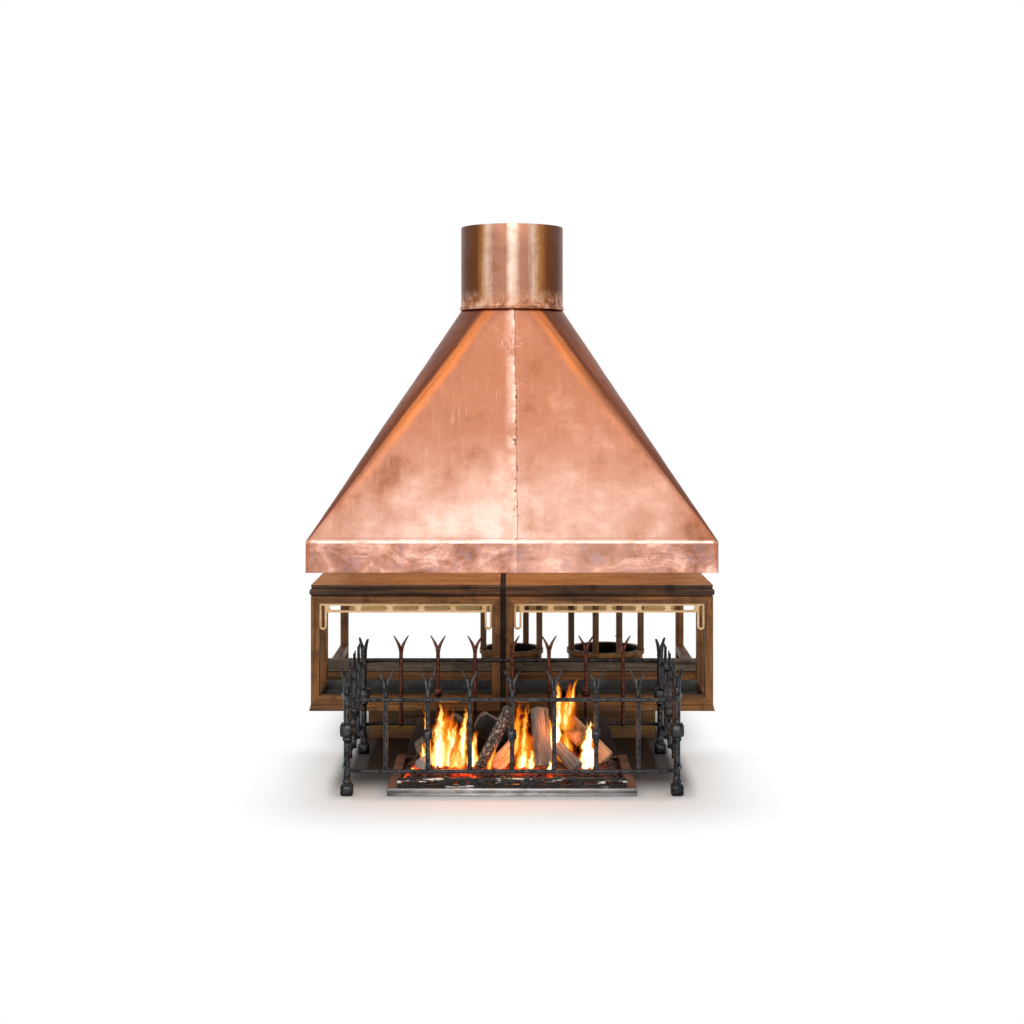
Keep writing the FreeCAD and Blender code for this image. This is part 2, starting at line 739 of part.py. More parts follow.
def fence_pieces():
    keep("fence_top_rail", [rail_ring(rail_high)])
    keep("fence_bottom_rail", [rail_ring(rail_low)])
    plain = forked_bar(bar_d, [(bar_low, bar_d)], False)
    beaded = forked_bar(bar_d, [(bar_low, bar_d)], True)
    middle = fence_deep / 2
    for name, y in (("front", bar_set), ("back", fence_deep - bar_set)):
        bars = []
        for index in range(bars_across):
            x = (index - (bars_across - 1) / 2) * bar_pitch
            bars.append(placed(beaded if index % 2 else plain, x, y, 0, 0))
        keep("fence_" + name + "_bars", bars)
    post_x = fence_w / 2 - post_set
    post_reach = middle - fence_corner_r
    side_pitch = 2 * post_reach / (bars_along + 1)
    for name, hand in (("left", -1), ("right", 1)):
        bars = []
        for index in range(bars_along):
            y = middle + (index - (bars_along - 1) / 2) * side_pitch
            bars.append(placed(beaded if index % 2 else plain, hand * (fence_w / 2 - bar_set), y, 0, quarter))
        keep("fence_" + name + "_bars", bars)
        for row, side in (("front", -1), ("back", 1)):
            turn = hand * side * quarter / 2
            keep("fence_" + row + "_" + name + "_post",
                 [placed(corner_post(turn), hand * post_x, middle + side * post_reach, 0, 0)])


os.makedirs("parts", exist_ok=True)
hood_pieces()
console_pieces()
drum_pieces()
plinth_pieces()
fire_pieces()
fence_pieces()
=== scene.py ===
# Looks of an open gas fire: copper hood, timber console, wrought fence, burner tray, logs and flames.
import json
import math
import random

import bmesh
import bpy
from mathutils import Matrix, Vector, noise


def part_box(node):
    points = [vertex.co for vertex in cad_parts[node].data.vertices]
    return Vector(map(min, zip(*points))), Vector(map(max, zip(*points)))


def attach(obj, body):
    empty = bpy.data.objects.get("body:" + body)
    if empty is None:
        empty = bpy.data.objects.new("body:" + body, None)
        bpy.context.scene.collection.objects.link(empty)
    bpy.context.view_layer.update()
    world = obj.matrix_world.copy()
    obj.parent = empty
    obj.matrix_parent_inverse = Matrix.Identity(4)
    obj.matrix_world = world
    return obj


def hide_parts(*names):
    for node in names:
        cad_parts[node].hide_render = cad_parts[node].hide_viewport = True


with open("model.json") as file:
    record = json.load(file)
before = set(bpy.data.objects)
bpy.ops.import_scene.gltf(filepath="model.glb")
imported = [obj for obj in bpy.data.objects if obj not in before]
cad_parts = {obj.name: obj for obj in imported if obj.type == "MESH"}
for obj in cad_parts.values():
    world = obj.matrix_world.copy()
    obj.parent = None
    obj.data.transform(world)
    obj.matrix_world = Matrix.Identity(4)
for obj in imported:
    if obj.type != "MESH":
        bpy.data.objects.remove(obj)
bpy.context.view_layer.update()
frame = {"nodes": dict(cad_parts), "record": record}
nodes = frame["nodes"]
random.seed(7)

# Sizes are metres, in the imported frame. Depths run back from the axis of the fence's front rail.
fence_low, fence_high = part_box("fence_top_rail")
RAIL_D = 0.011
FRONT_Y = fence_low.y + RAIL_D / 2
FENCE_HALF = fence_high.x - RAIL_D / 2
FENCE_DEEP = fence_high.y - fence_low.y - RAIL_D


def place(x, depth, z):
    """Point from its distance across, its depth behind the front rail and its height."""
    return Vector((x, FRONT_Y + depth, z))


def mix(a, b, share):
    return a + (b - a) * share


def srgb(red, green, blue):
    """Linear colour from 8-bit display values."""
    values = []
    for level in (red, green, blue):
        level /= 255
        values.append(level / 12.92 if level < 0.04045 else ((level + 0.055) / 1.055) ** 2.4)
    return (*values, 1)


# Node materials
class Value:
    """A node's output, for sums, ramps and textures in the same tree."""

    def __init__(self, tree, socket):
        self.tree = tree
        self.socket = socket

    def __add__(self, other):
        return self.tree.math("ADD", self, other)

    def __radd__(self, other):
        return self.tree.math("ADD", other, self)

    def __sub__(self, other):
        return self.tree.math("SUBTRACT", self, other)

    def __rsub__(self, other):
        return self.tree.math("SUBTRACT", other, self)

    def __mul__(self, other):
        return self.tree.math("MULTIPLY", self, other)

    def __truediv__(self, other):
        return self.tree.math("DIVIDE", self, other)

    def __pow__(self, other):
        return self.tree.math("POWER", self, other)

    def __abs__(self):
        return self.tree.math("ABSOLUTE", self, 0)

    def largest(self, other):
        return self.tree.math("MAXIMUM", self, other)

    def smallest(self, other):
        return self.tree.math("MINIMUM", self, other)

    def below(self, limit):
        return self.tree.math("LESS_THAN", self, limit)

    def axis(self, name):
        return self.tree.add("SeparateXYZ", {0: self}, name)

    def rise(self, low, high):
        """0 at the low value and 1 at the high one."""
        return self.tree.add("MapRange", {0: self, 1: low, 2: high})

    def noise(self, scale, detail=4, roughness=0.55, distortion=0, stretch=(1, 1, 1)):
        vector = self.tree.add("Mapping", {"Vector": self, "Scale": stretch})
        inputs = {"Vector": vector, "Scale": scale, "Detail": detail, "Roughness": roughness,
                  "Distortion": distortion}
        return self.tree.add("TexNoise", inputs)

    def ramp(self, *stops):
        """Grey levels or colours, blended between the places given."""
        node = self.tree.node("ValToRGB", {"Fac": self})
        elements = node.color_ramp.elements
        for index, (position, colour) in enumerate(stops):
            if index < len(elements):
                element = elements[index]
                element.position = position
            else:
                element = elements.new(position)
            element.color = colour if isinstance(colour, tuple) else (colour, colour, colour, 1)
        return Value(self.tree, node.outputs["Color"])

    def coat(self, colour, cover):
        """This colour under another, which covers it by a share."""
        return self.tree.mix(cover, self, colour)


class Tree:
    """A node tree. Most methods add one node and return its output."""

    def __init__(self, tree):
        self.nodes = tree.nodes
        self.links = tree.links

    def feed(self, socket, value):
        if isinstance(value, Value):
            value = value.socket
        if isinstance(value, bpy.types.NodeSocket):
            self.links.new(value, socket)
        else:
            socket.default_value = value

    def node(self, kind, inputs, **settings):
        node = self.nodes.new("ShaderNode" + kind)
        for key, value in settings.items():
            setattr(node, key, value)
        for socket, value in inputs.items():
            self.feed(node.inputs[socket], value)
        return node

    def add(self, kind, inputs, output=0, **settings):
        return Value(self, self.node(kind, inputs, **settings).outputs[output])

    def math(self, operation, a, b):
        return self.add("Math", {0: a, 1: b}, operation=operation)

    def mix(self, factor, a, b):
        return self.add("Mix", {0: factor, 6: a, 7: b}, 2, data_type="RGBA", blend_type="MIX")

    def join(self, *parts):
        """Vector from its parts."""
        return self.add("CombineXYZ", dict(enumerate(parts)))

    def where(self):
        return self.add("TexCoord", {}, "Object")

    def attribute(self, name, output="Fac"):
        return self.add("Attribute", {}, output, attribute_name=name)

    def seen(self):
        """1 for what the camera sees directly, in a mirror or through glass."""
        path = self.node("LightPath", {}).outputs
        seen = self.math("MAXIMUM", path["Is Camera Ray"], path["Is Glossy Ray"])
        return seen.largest(path["Is Transmission Ray"])


class Finish(Tree):
    """A surface material."""

    def __init__(self, name, **sockets):
        self.material = bpy.data.materials.new(name)
        self.material.use_nodes = True
        super().__init__(self.material.node_tree)
        self.shader = self.nodes["Principled BSDF"]
        for socket, value in sockets.items():
            self.shade(socket.replace("_", " "), value)

    def shade(self, socket, value):
        self.feed(self.shader.inputs[socket], value)

    def bump(self, height, depth, after=None):
        inputs = {"Height": height, "Distance": depth}
        if after is not None:
            inputs["Normal"] = after
        return self.add("Bump", inputs)

    def done(self, colour, roughness=None, normal=None):
        self.shade("Base Color", colour)
        if roughness is not None:
            self.shade("Roughness", roughness)
        if normal is not None:
            self.shade("Normal", normal)
        return self.material


# Place of the canopy's seam across it, at its foot and at its head
SEAM_LOW_X = 0.013
SEAM_HIGH_X = 0.006
SEAM_WANDER = 0.010


def canopy_finish(low, high, middle):
    """Copper canopy: a painted floor reflection at its foot, painted shade and a painted warm streak on its
    folds, and a scarred welded seam.
    """
    finish = Finish("hood_copper", Metallic=1.0)
    where = finish.where()
    x = where.axis("X")
    up = where.axis("Z").rise(low, high)
    front = where.axis("Y").below(middle)
    laid = finish.join(finish.attribute("around"), up)
    clouds = where.noise(5.2, 9, 0.60, 0.15)
    spots = where.noise(22, 6, 0.65, 0.1)
    brush = laid.noise(1, 5, 0.65, stretch=(60, 5, 1))
    light = srgb(206, 156, 134)
    body = srgb(178, 120, 94)
    colour = clouds.ramp((0.28, srgb(140, 84, 58)), (0.44, body), (0.58, body), (0.76, light))
    colour = colour.coat(srgb(152, 96, 72), spots.ramp((0.50, 0), (0.74, 0.45)))
    colour = colour.coat(light, brush.ramp((0.52, 0), (0.78, 0.4)))
    colour = colour.coat(srgb(156, 90, 58), up.ramp((0.25, 0), (0.7, 0.4), (0.9, 0.3)))
    # Painted reflection: paler copper towards the foot and a little left of the middle, standing for the
    # pale floor seen in the metal.
    painted_floor_reflection = up.ramp((0.0, 1), (0.14, 0.75), (0.45, 0)) * clouds.ramp((0.38, 0.05), (0.62, 0.75))
    painted_floor_reflection = painted_floor_reflection * abs(x + 0.08).ramp((0.05, 1), (0.45, 0.45))
    colour = colour.coat(srgb(246, 212, 198), painted_floor_reflection)

    fold = finish.attribute("fold")
    ragged = fold + (spots - 0.5) * 0.10 + up.ramp((0.72, 0.06), (0.94, 0))
    lines = finish.join(fold * 9, up * 2.2, x * 2.5).noise(1, 5)
    # Painted shade: dark brown bands along the folded corners, standing for the darker surroundings they
    # would reflect.
    painted_fold_shade = lines.ramp((0.32, srgb(80, 38, 20)), (0.50, srgb(114, 56, 31)), (0.70, srgb(148, 80, 48)))
    colour = colour.coat(painted_fold_shade, ragged.ramp((0.48, 0), (0.60, 0.45), (0.74, 0.9), (1.0, 0.95)))
    # Painted highlight: a warm orange streak between each flat face and its fold, reaching lower on the left
    # than on the right.
    left_part = up.ramp((0.10, 0.05), (0.32, 0.36), (0.50, 1), (1.0, 0.8))
    right_part = up.ramp((0.30, 0.06), (0.60, 0.25), (0.74, 0.95), (1.0, 0.8))
    painted_streak_highlight = ragged.ramp((0.36, 0), (0.47, 0.75), (0.60, 0.8), (0.76, 0))
    painted_streak_highlight = painted_streak_highlight * lines.ramp((0.36, 0.45), (0.56, 1))
    colour = colour.coat(srgb(246, 142, 72), painted_streak_highlight * right_part.coat(left_part, x.below(0)))

    line = SEAM_LOW_X + up * (SEAM_HIGH_X - SEAM_LOW_X)
    wander = (where.noise(26) - 0.5) * SEAM_WANDER
    side = (x - line + wander) * 10 + 0.5
    strip = front * side.ramp((0.20, 0), (0.34, 0.35), (0.47, 0.75), (0.515, 0.8), (0.53, 0.1), (0.62, 0))
    colour = colour.coat(srgb(246, 206, 186), strip * spots.ramp((0.38, 0.15), (0.58, 1)))
    cut = front * side.ramp((0.500, 0), (0.512, 1), (0.522, 1), (0.534, 0))
    colour = colour.coat(srgb(120, 66, 42), cut * 0.45)
    near = front * side.ramp((0.38, 0), (0.48, 1), (0.53, 1), (0.57, 0))
    pits = where.noise(75, 2, stretch=(1, 1, 0.7)).ramp((0.59, 0), (0.65, 1))
    pitted = near * pits * up.ramp((0.0, 1), (0.55, 0.9), (0.7, 0.2))
    colour = colour.coat(srgb(70, 40, 28), pitted)
    contour = where.noise(30, 3, 0.6, stretch=(1, 1, 0.7))
    scratch = contour.ramp((0.555, 0), (0.566, 1), (0.574, 1), (0.585, 0))
    patch = side.ramp((0.0, 0), (0.12, 0.7), (0.45, 1), (0.72, 0.8), (0.82, 0))
    patch = patch * up.ramp((0.52, 0), (0.66, 0.8), (0.95, 0.9))
    patch = patch * where.noise(9, 3).ramp((0.44, 0), (0.58, 1))
    colour = colour.coat(srgb(255, 226, 210), scratch * patch * front * 0.85)
    strokes = laid.noise(1, 2, 0.5, stretch=(190, 7, 1)).ramp((0.58, 0), (0.74, 0.42))
    strokes = strokes * where.noise(7, 3).ramp((0.46, 0), (0.62, 1))
    flat = fold.ramp((0.30, 1), (0.48, 0)) * up.ramp((0.28, 0.15), (0.45, 1), (0.78, 1), (0.9, 0.2))
    beside = (x * 2 + 0.5).ramp((0.1, 0.3), (0.3, 1), (0.5, 0.7), (0.58, 0.15))
    colour = colour.coat(srgb(244, 206, 186), strokes * flat * beside)

    rough = clouds.coat(spots, 0.5).ramp((0.3, 0.50), (0.7, 0.32))
    fine = where.noise(260, 3, stretch=(1, 1, 0.3))
    ridge = front * side.ramp((0.30, 0), (0.42, 1), (0.51, 1), (0.53, 0)) - pitted * 1.2
    normal = finish.bump(spots, 0.0020, finish.bump(brush, 0.0008, finish.bump(ridge, 0.0012)))
    return finish.done(colour, rough, finish.bump(fine, 0.0004, normal))


# Tones of the flue pipe's painted reflection, and the places across it where each is strongest: brown at its
# sides, gold and pale copper between, a shine down its middle
DEEP_BROWN = srgb(84, 44, 20)
BROWN = srgb(110, 62, 34)
GOLD = srgb(178, 122, 68)
DULL_COPPER = srgb(182, 128, 104)
PALE_COPPER = srgb(228, 192, 170)
SHINE = srgb(255, 222, 200)
FLUE_REFLECTION_BANDS = ((0.00, BROWN), (0.05, DEEP_BROWN), (0.17, BROWN), (0.215, GOLD), (0.27, PALE_COPPER),
              (0.33, DULL_COPPER), (0.44, DULL_COPPER), (0.495, SHINE), (0.54, PALE_COPPER),
              (0.59, DULL_COPPER), (0.65, DULL_COPPER), (0.70, PALE_COPPER), (0.76, GOLD), (0.83, BROWN),
              (0.93, DEEP_BROWN), (1.00, BROWN))
FLUE_DRIFT = 0.07
FLUE_FRAY = 0.05
FLUE_SCORCH_H = 0.06


def flue_finish(low):
    """Flue pipe: brushed, with painted reflection bands down it, brown at its sides and gold, pale and
    shining towards its middle, and a scorched and soldered foot.
    """
    finish = Finish("flue_copper", Metallic=1.0)
    where = finish.where()
    fibres = where.noise(120, 3, stretch=(1, 1, 0.03))
    clouds = where.noise(22, 6, 0.65, 0.6)
    drift = where.noise(9, stretch=(1, 1, 0.5))
    across = where.axis("X") / (2 * FLUE_R) + drift * FLUE_DRIFT + fibres * FLUE_FRAY
    # Painted reflection: bands across the pipe from side to side, the same front and back.
    colour = (across + (0.5 - FLUE_DRIFT / 2 - FLUE_FRAY / 2)).ramp(*FLUE_REFLECTION_BANDS)
    colour = colour.coat(srgb(126, 76, 46), clouds.ramp((0.48, 0), (0.70, 0.45)))
    up = where.axis("Z").rise(low, low + FLUE_SCORCH_H)
    scorch = clouds.ramp((0.36, srgb(110, 62, 42)), (0.50, srgb(206, 136, 98)), (0.60, srgb(250, 204, 178)))
    colour = colour.coat(scorch, up.ramp((0.0, 0.9), (0.35, 0.55), (1.0, 0)))
    joint = (up + drift * 0.10).ramp((0.10, 0), (0.15, 0.8), (0.19, 0)) * fibres.ramp((0.4, 0.3), (0.6, 1))
    colour = colour.coat(srgb(60, 34, 24), joint)
    rough = clouds.ramp((0.3, 0.34), (0.7, 0.46))
    return finish.done(colour, rough, finish.bump(fibres, 0.0004, finish.bump(clouds, 0.0014)))


def skirt_finish(low, high):
    """Skirt band: blotched brown and violet copper, with a painted highlight along its top fold and painted
    shade at its folded ends.
    """
    finish = Finish("skirt_copper", Metallic=1.0)
    where = finish.where()
    x = where.axis("X")
    y = where.axis("Y")
    up = where.axis("Z").rise(low.z, high.z)
    middle = (low.y + high.y) / 2
    front = y.below(middle)
    clouds = where.noise(7, 7, 0.66, 0.8, stretch=(1, 1, 1.6))
    spots = where.noise(24, 6, 0.7, 0.5)
    colour = clouds.ramp((0.30, srgb(104, 64, 47)), (0.43, srgb(142, 96, 77)), (0.53, srgb(168, 120, 101)),
                         (0.68, srgb(210, 168, 150)))
    colour = colour.coat(srgb(118, 80, 66), spots.ramp((0.46, 0), (0.66, 0.7)))
    violet = clouds.ramp((0.50, 1), (0.62, 0)) * spots.ramp((0.40, 0.6), (0.5, 0))
    colour = colour.coat(srgb(132, 106, 108), violet)
    # Painted highlight: a bright broken line along the top fold.
    top_fold_highlight = up.ramp((0.90, 0), (0.97, 1)) * spots.ramp((0.35, 0.4), (0.55, 1))
    colour = colour.coat(srgb(255, 226, 208), top_fold_highlight)
    right = (x + 0.5).ramp((0.48, 0), (0.62, 0.30), (0.78, 0.08), (1, 0))
    colour = colour.coat(srgb(222, 176, 156), right)
    side = (x - SEAM_LOW_X) * 20 + 0.5 + (spots - 0.5) * 0.16
    strip = side.ramp((0.16, 0), (0.34, 0.35), (0.48, 0.5), (0.52, 0))
    broken = front * spots.ramp((0.38, 0.15), (0.56, 1))
    colour = colour.coat(srgb(224, 178, 156), strip * broken)
    cut = side.ramp((0.50, 0), (0.53, 0.45), (0.56, 0))
    colour = colour.coat(srgb(96, 56, 40), cut * front)
    # Painted shade: darker copper near the folded corners, reaching farther from them towards the top.
    out = (high.x - abs(x)).largest(high.y - middle - abs(y - middle)) + up * -0.010
    colour = colour.coat(srgb(140, 78, 54), (out * 40).ramp((0.05, 0.75), (0.30, 0)))
    rough = clouds.coat(spots, 0.5).ramp((0.3, 0.52), (0.7, 0.34))
    return finish.done(colour, rough, finish.bump(spots, 0.0022, finish.bump(clouds, 0.003)))


def wood_finish(name, light, body, dark, arris_wear_and_highlight, gloss=0.45):
    """Old timber: fibres along each piece, broad figure, stains, and rubbed arrises lightened by wear and a
    painted edge highlight.
    """
    finish = Finish(name, Specular_IOR_Level=0.25)
    grain = finish.attribute("grain", "Vector")
    fibre = grain.noise(1, 5, 0.7, stretch=(9, 230, 230))
    figure = grain.noise(1, distortion=0.8, stretch=(2.2, 38, 38))
    stain = finish.where().noise(13, 6, 0.65, 0.5)
    colour = figure.ramp((0.30, srgb(*dark)), (0.5, srgb(*body)), (0.72, srgb(*light)))
    colour = colour.coat(srgb(*dark), fibre.ramp((0.40, 0.65), (0.58, 0)))
    colour = colour.coat(srgb(*dark), stain.ramp((0.50, 0), (0.70, 0.8)))
    # Arrises lightened by wear and by a painted edge highlight.
    colour = colour.coat(srgb(*arris_wear_and_highlight), finish.attribute("arris") * stain.ramp((0.40, 1), (0.60, 0.15)))
    rough = stain.ramp((0.35, gloss), (0.7, gloss + 0.25))
    return finish.done(colour, rough, finish.bump(fibre, 0.0006, finish.bump(figure, 0.0008)))


def iron_finish(name, dark, bright, metallic, roughness):
    """Forged iron: hammer marks, scale and rubbed high spots."""
    finish = Finish(name, Metallic=metallic)
    where = finish.where()
    marks = where.noise(95, 3, 0.5)
    scale = where.noise(420, 5, 0.7)
    colour = marks.ramp((0.35, srgb(*dark)), (0.75, srgb(*bright)))
    colour = colour.coat(srgb(*bright), scale.ramp((0.58, 0), (0.72, 0.3)))
    rough = scale.ramp((0.3, roughness - 0.08), (0.7, roughness + 0.12))
    return finish.done(colour, rough, finish.bump(scale, 0.00015, finish.bump(marks, 0.0005)))


def slate_finish():
    """Split slate: long flat layers, grey bloom and dark cracks."""
    finish = Finish("slate", Roughness=0.7)
    where = finish.where()
    layer = where.noise(9, 8, 0.7, 0.7, stretch=(1, 2.5, 1))
    grit = where.noise(160)
    colour = layer.ramp((0.32, srgb(30, 30, 30)), (0.5, srgb(74, 74, 72)), (0.72, srgb(130, 129, 124)))
    colour = colour.coat(srgb(30, 30, 31), grit.ramp((0.5, 0), (0.8, 0.5)))
    return finish.done(colour, None, finish.bump(grit, 0.0006, finish.bump(layer, 0.003)))


def steel_finish(low, high, half):
    """Brushed steel bar: painted reflection bands up its face, bright low down and at its top, darker at its
    foot and middle, with smears, scratches and darker ends.
    """
    finish = Finish("brushed_steel", Metallic=1.0)
    where = finish.where()
    brush = where.noise(1, 4, 0.7, stretch=(14, 900, 900))
    smear = where.noise(16, 5, stretch=(1, 3, 3))
    up = where.axis("Z").rise(low, high)
    # Painted reflection: bands by height, a dark foot, a bright lower band, a darker middle and a bright top
    # line.
    colour = up.ramp((0.0, srgb(70, 70, 70)), (0.22, srgb(176, 175, 174)), (0.42, srgb(118, 118, 118)),
                     (0.62, srgb(96, 96, 97)), (0.82, srgb(150, 150, 150)), (0.97, srgb(206, 205, 204)))
    colour = colour.coat(srgb(206, 205, 203), smear.ramp((0.45, 0), (0.70, 0.55)))
    colour = colour.coat(srgb(64, 63, 63), smear.ramp((0.30, 0.6), (0.42, 0)))
    # Darker towards the ends, and darker still in streaks at the very ends.
    out = half - abs(where.axis("X"))
    colour = colour.coat(srgb(78, 77, 77), (out / half).ramp((0.25, 0.5), (0.80, 0)))
    ends = (out * 20).ramp((0.05, 0.7), (0.35, 0.35), (0.9, 0)) * brush.ramp((0.40, 0.2), (0.60, 1))
    colour = colour.coat(srgb(52, 50, 50), ends)
    return finish.done(colour, brush.ramp((0.3, 0.26), (0.7, 0.46)), finish.bump(brush, 0.0002))


def heated_finish(name, cold, warm):
    """Heat-browned sheet with scorched clouds."""
    finish = Finish(name, Metallic=0.55)
    where = finish.where()
    grit = where.noise(300, 3)
    colour = where.noise(24, 6, 0.65).ramp((0.32, srgb(*cold)), (0.68, srgb(*warm)))
    return finish.done(colour, grit.ramp((0.3, 0.42), (0.7, 0.7)), finish.bump(grit, 0.0004))


def grate_finish():
    """Cast grate: sooty black, with painted bright glints in streaks along it."""
    finish = Finish("grate_iron", Metallic=0.8)
    where = finish.where()
    soot = where.noise(60, 5, 0.65)
    painted_glints = where.noise(1, 4, 0.6, stretch=(13, 160, 160))
    colour = soot.ramp((0.35, srgb(16, 14, 14)), (0.70, srgb(48, 43, 41)))
    # Painted glints: bright streaks along the grate.
    colour = colour.coat(srgb(206, 202, 198), painted_glints.ramp((0.57, 0), (0.63, 0.9)))
    return finish.done(colour, soot.ramp((0.3, 0.35), (0.7, 0.6)), finish.bump(soot, 0.0018))


def brass_finish():
    finish = Finish("gas_brass", Metallic=1.0)
    clouds = finish.where().noise(60, 5)
    colour = clouds.ramp((0.3, srgb(140, 104, 48)), (0.7, srgb(214, 176, 98)))
    return finish.done(colour, clouds.ramp((0.3, 0.5), (0.7, 0.25)), finish.bump(clouds, 0.0003))


def bark_finish(name, ash, body, char):
    """Cast log: grey bark split along its length, charred in the splits and where it burns."""
    finish = Finish(name, Roughness=0.9)
    grain = finish.attribute("grain", "Vector")
    splits = grain.noise(1, 6, 0.68, 0.4, stretch=(9, 130, 130))
    threads = grain.noise(1, 3, 0.6, stretch=(30, 520, 520))
    clouds = finish.where().noise(30, 5, 0.6)
    colour = splits.ramp((0.34, srgb(*char)), (0.43, srgb(*body)), (0.60, srgb(*ash)))
    colour = colour.coat(srgb(*char), threads.ramp((0.40, 0.45), (0.55, 0)))
    colour = colour.coat(srgb(*body), clouds.ramp((0.56, 0), (0.74, 0.5)))
    burnt = finish.attribute("char") + (clouds - 0.5) * 0.9
    colour = colour.coat(srgb(20, 15, 13), burnt.ramp((0.35, 0), (0.60, 1)))
    return finish.done(colour, None, finish.bump(splits, 0.004, finish.bump(threads, 0.0008)))


def charcoal_finish():
    """Charred log: cracked black blocks with grey faces."""
    finish = Finish("charcoal", Roughness=0.6)
    grain = finish.attribute("grain", "Vector")
    drift = finish.where().noise(60, 3) * 0.012
    bent = finish.add("VectorMath", {0: grain, 1: drift}, operation="ADD")
    blocks = finish.add("Mapping", {"Vector": bent, "Scale": (58, 100, 100)})
    crack = finish.add("TexVoronoi", {"Vector": blocks, "Scale": 1}, "Distance", feature="DISTANCE_TO_EDGE")
    threads = grain.noise(1, stretch=(40, 400, 400))
    colour = crack.ramp((0.02, srgb(12, 11, 11)), (0.10, srgb(100, 96, 94)), (0.30, srgb(160, 153, 148)))
    colour = colour.coat(srgb(30, 28, 27), threads.ramp((0.42, 0.7), (0.58, 0)))
    return finish.done(colour, None, finish.bump(crack.ramp((0.0, 0), (0.16, 1)), 0.003))


def ember_finish():
    """Crushed embers: black crust over grains that glow from below."""
    finish = Finish("embers", Roughness=0.9, Emission_Strength=1.4)
    where = finish.where()
    heat = finish.attribute("warmth") + where.noise(55, 5, 0.7) * 0.6
    colour = where.noise(210, 3).ramp((0.42, srgb(20, 14, 12)), (0.60, srgb(96, 52, 38)))
    colour = colour.coat(srgb(120, 45, 20), heat.ramp((0.45, 0), (0.62, 0.7)))
    glow = heat.ramp((0.62, srgb(0, 0, 0)), (0.72, srgb(170, 30, 6)), (0.86, srgb(255, 96, 18)),
                     (0.98, srgb(255, 196, 90)))
    finish.shade("Emission Color", glow)
    return finish.done(colour, None, finish.bump(where.noise(140), 0.002))


def flame_finish():
    """Gas flame on a sheet: a torn tongue, white in its core, then yellow, orange and clear."""
    finish = Finish("flame", Roughness=1.0, Specular_IOR_Level=0.0)
    leaf = finish.attribute("leaf", "Vector")
    across = leaf.axis("X")
    up = finish.attribute("rise")
    sway = leaf.noise(1.5, 2, stretch=(0.5, 1.2, 1)) - 0.5
    wisp = leaf.noise(2.7, 3, stretch=(1.0, 0.8, 1)) - 0.5
    bent = across + (sway * 1.8 + wisp * 0.55) * up ** 0.8
    half = up.ramp((0.0, 0.42), (0.14, 0.66), (0.38, 0.56), (0.68, 0.30), (1.0, 0.02))
    body = 1 - abs(bent) / half + wisp * 0.45
    warmth = body * up.ramp((0.0, 1.0), (0.45, 0.85), (0.8, 0.5), (1.0, 0.3)) * finish.attribute("core")
    colour = warmth.ramp((0.0, srgb(255, 66, 6)), (0.16, srgb(255, 112, 16)), (0.36, srgb(255, 176, 48)),
                         (0.58, srgb(255, 232, 150)), (0.8, srgb(255, 252, 236)))
    rim = body.ramp((0.0, 0), (0.20, 0.35), (0.48, 1))
    ends = up.ramp((0.0, 0), (0.05, 1), (0.75, 1), (1.0, 0))
    sides = abs(across).ramp((0.85, 1), (1.0, 0))
    finish.shade("Emission Color", colour)
    finish.shade("Emission Strength", warmth.ramp((0.0, 0.25), (0.3, 0.45), (0.7, 1.0)) * 2.4)
    finish.shade("Alpha", rim * ends * sides * warmth.ramp((0.0, 0.35), (0.5, 0.95)))
    return finish.done(warmth.ramp((0.0, 0.0), (1, 0.01)))


FLUE_BEAD = 0.004
hood_low, hood_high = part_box("hood_canopy")
copper = canopy_finish(hood_low.z, hood_high.z, (hood_low.y + hood_high.y) / 2)
skirt_low, skirt_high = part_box("hood_skirt")
skirt_copper = skirt_finish(skirt_low, skirt_high)
flue_low, flue_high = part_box("flue_collar")
FLUE_R = (flue_high.x - flue_low.x) / 2 - FLUE_BEAD
flue_copper = flue_finish(flue_low.z)
# Timber: light, body and dark tones, then the worn arrises' tone, lightened also as a painted edge highlight
board_wood = wood_finish("board_wood", (226, 158, 90), (202, 132, 66), (150, 94, 48), (150, 98, 58), 0.6)
nose_wood = wood_finish("nose_wood", (132, 86, 52), (80, 54, 37), (34, 25, 19), (182, 116, 70), 0.4)
frame_wood = wood_finish("frame_wood", (174, 118, 62), (142, 92, 46), (62, 41, 24), (196, 142, 80))
# A lighter copy of the frame timber: painted light, lifting the drums, which sit in low light.
drum_wood = wood_finish("drum_wood", (200, 144, 82), (164, 112, 60), (86, 58, 34), (220, 164, 96))
grey_wood = wood_finish("grey_wood", (150, 132, 106), (120, 103, 82), (56, 47, 38), (160, 134, 100))
light_wood = wood_finish("light_wood", (255, 228, 186), (248, 210, 162), (210, 170, 118), (255, 246, 216))
# Paler than the apron's timber: painted light for the frieze, which sits in shade under the boards.
frieze_wood = wood_finish("frieze_wood", (255, 224, 164), (255, 210, 142), (240, 184, 112), (255, 228, 174),
                          0.7)
dark_wood = wood_finish("dark_wood", (78, 54, 36), (48, 34, 23), (25, 18, 14), (98, 70, 46), 0.7)
plinth_wood = wood_finish("plinth_wood", (146, 104, 48), (112, 78, 36), (62, 43, 22), (134, 96, 50))
wrought_iron = iron_finish("wrought_iron", (32, 32, 33), (76, 76, 78), 1.0, 0.34)
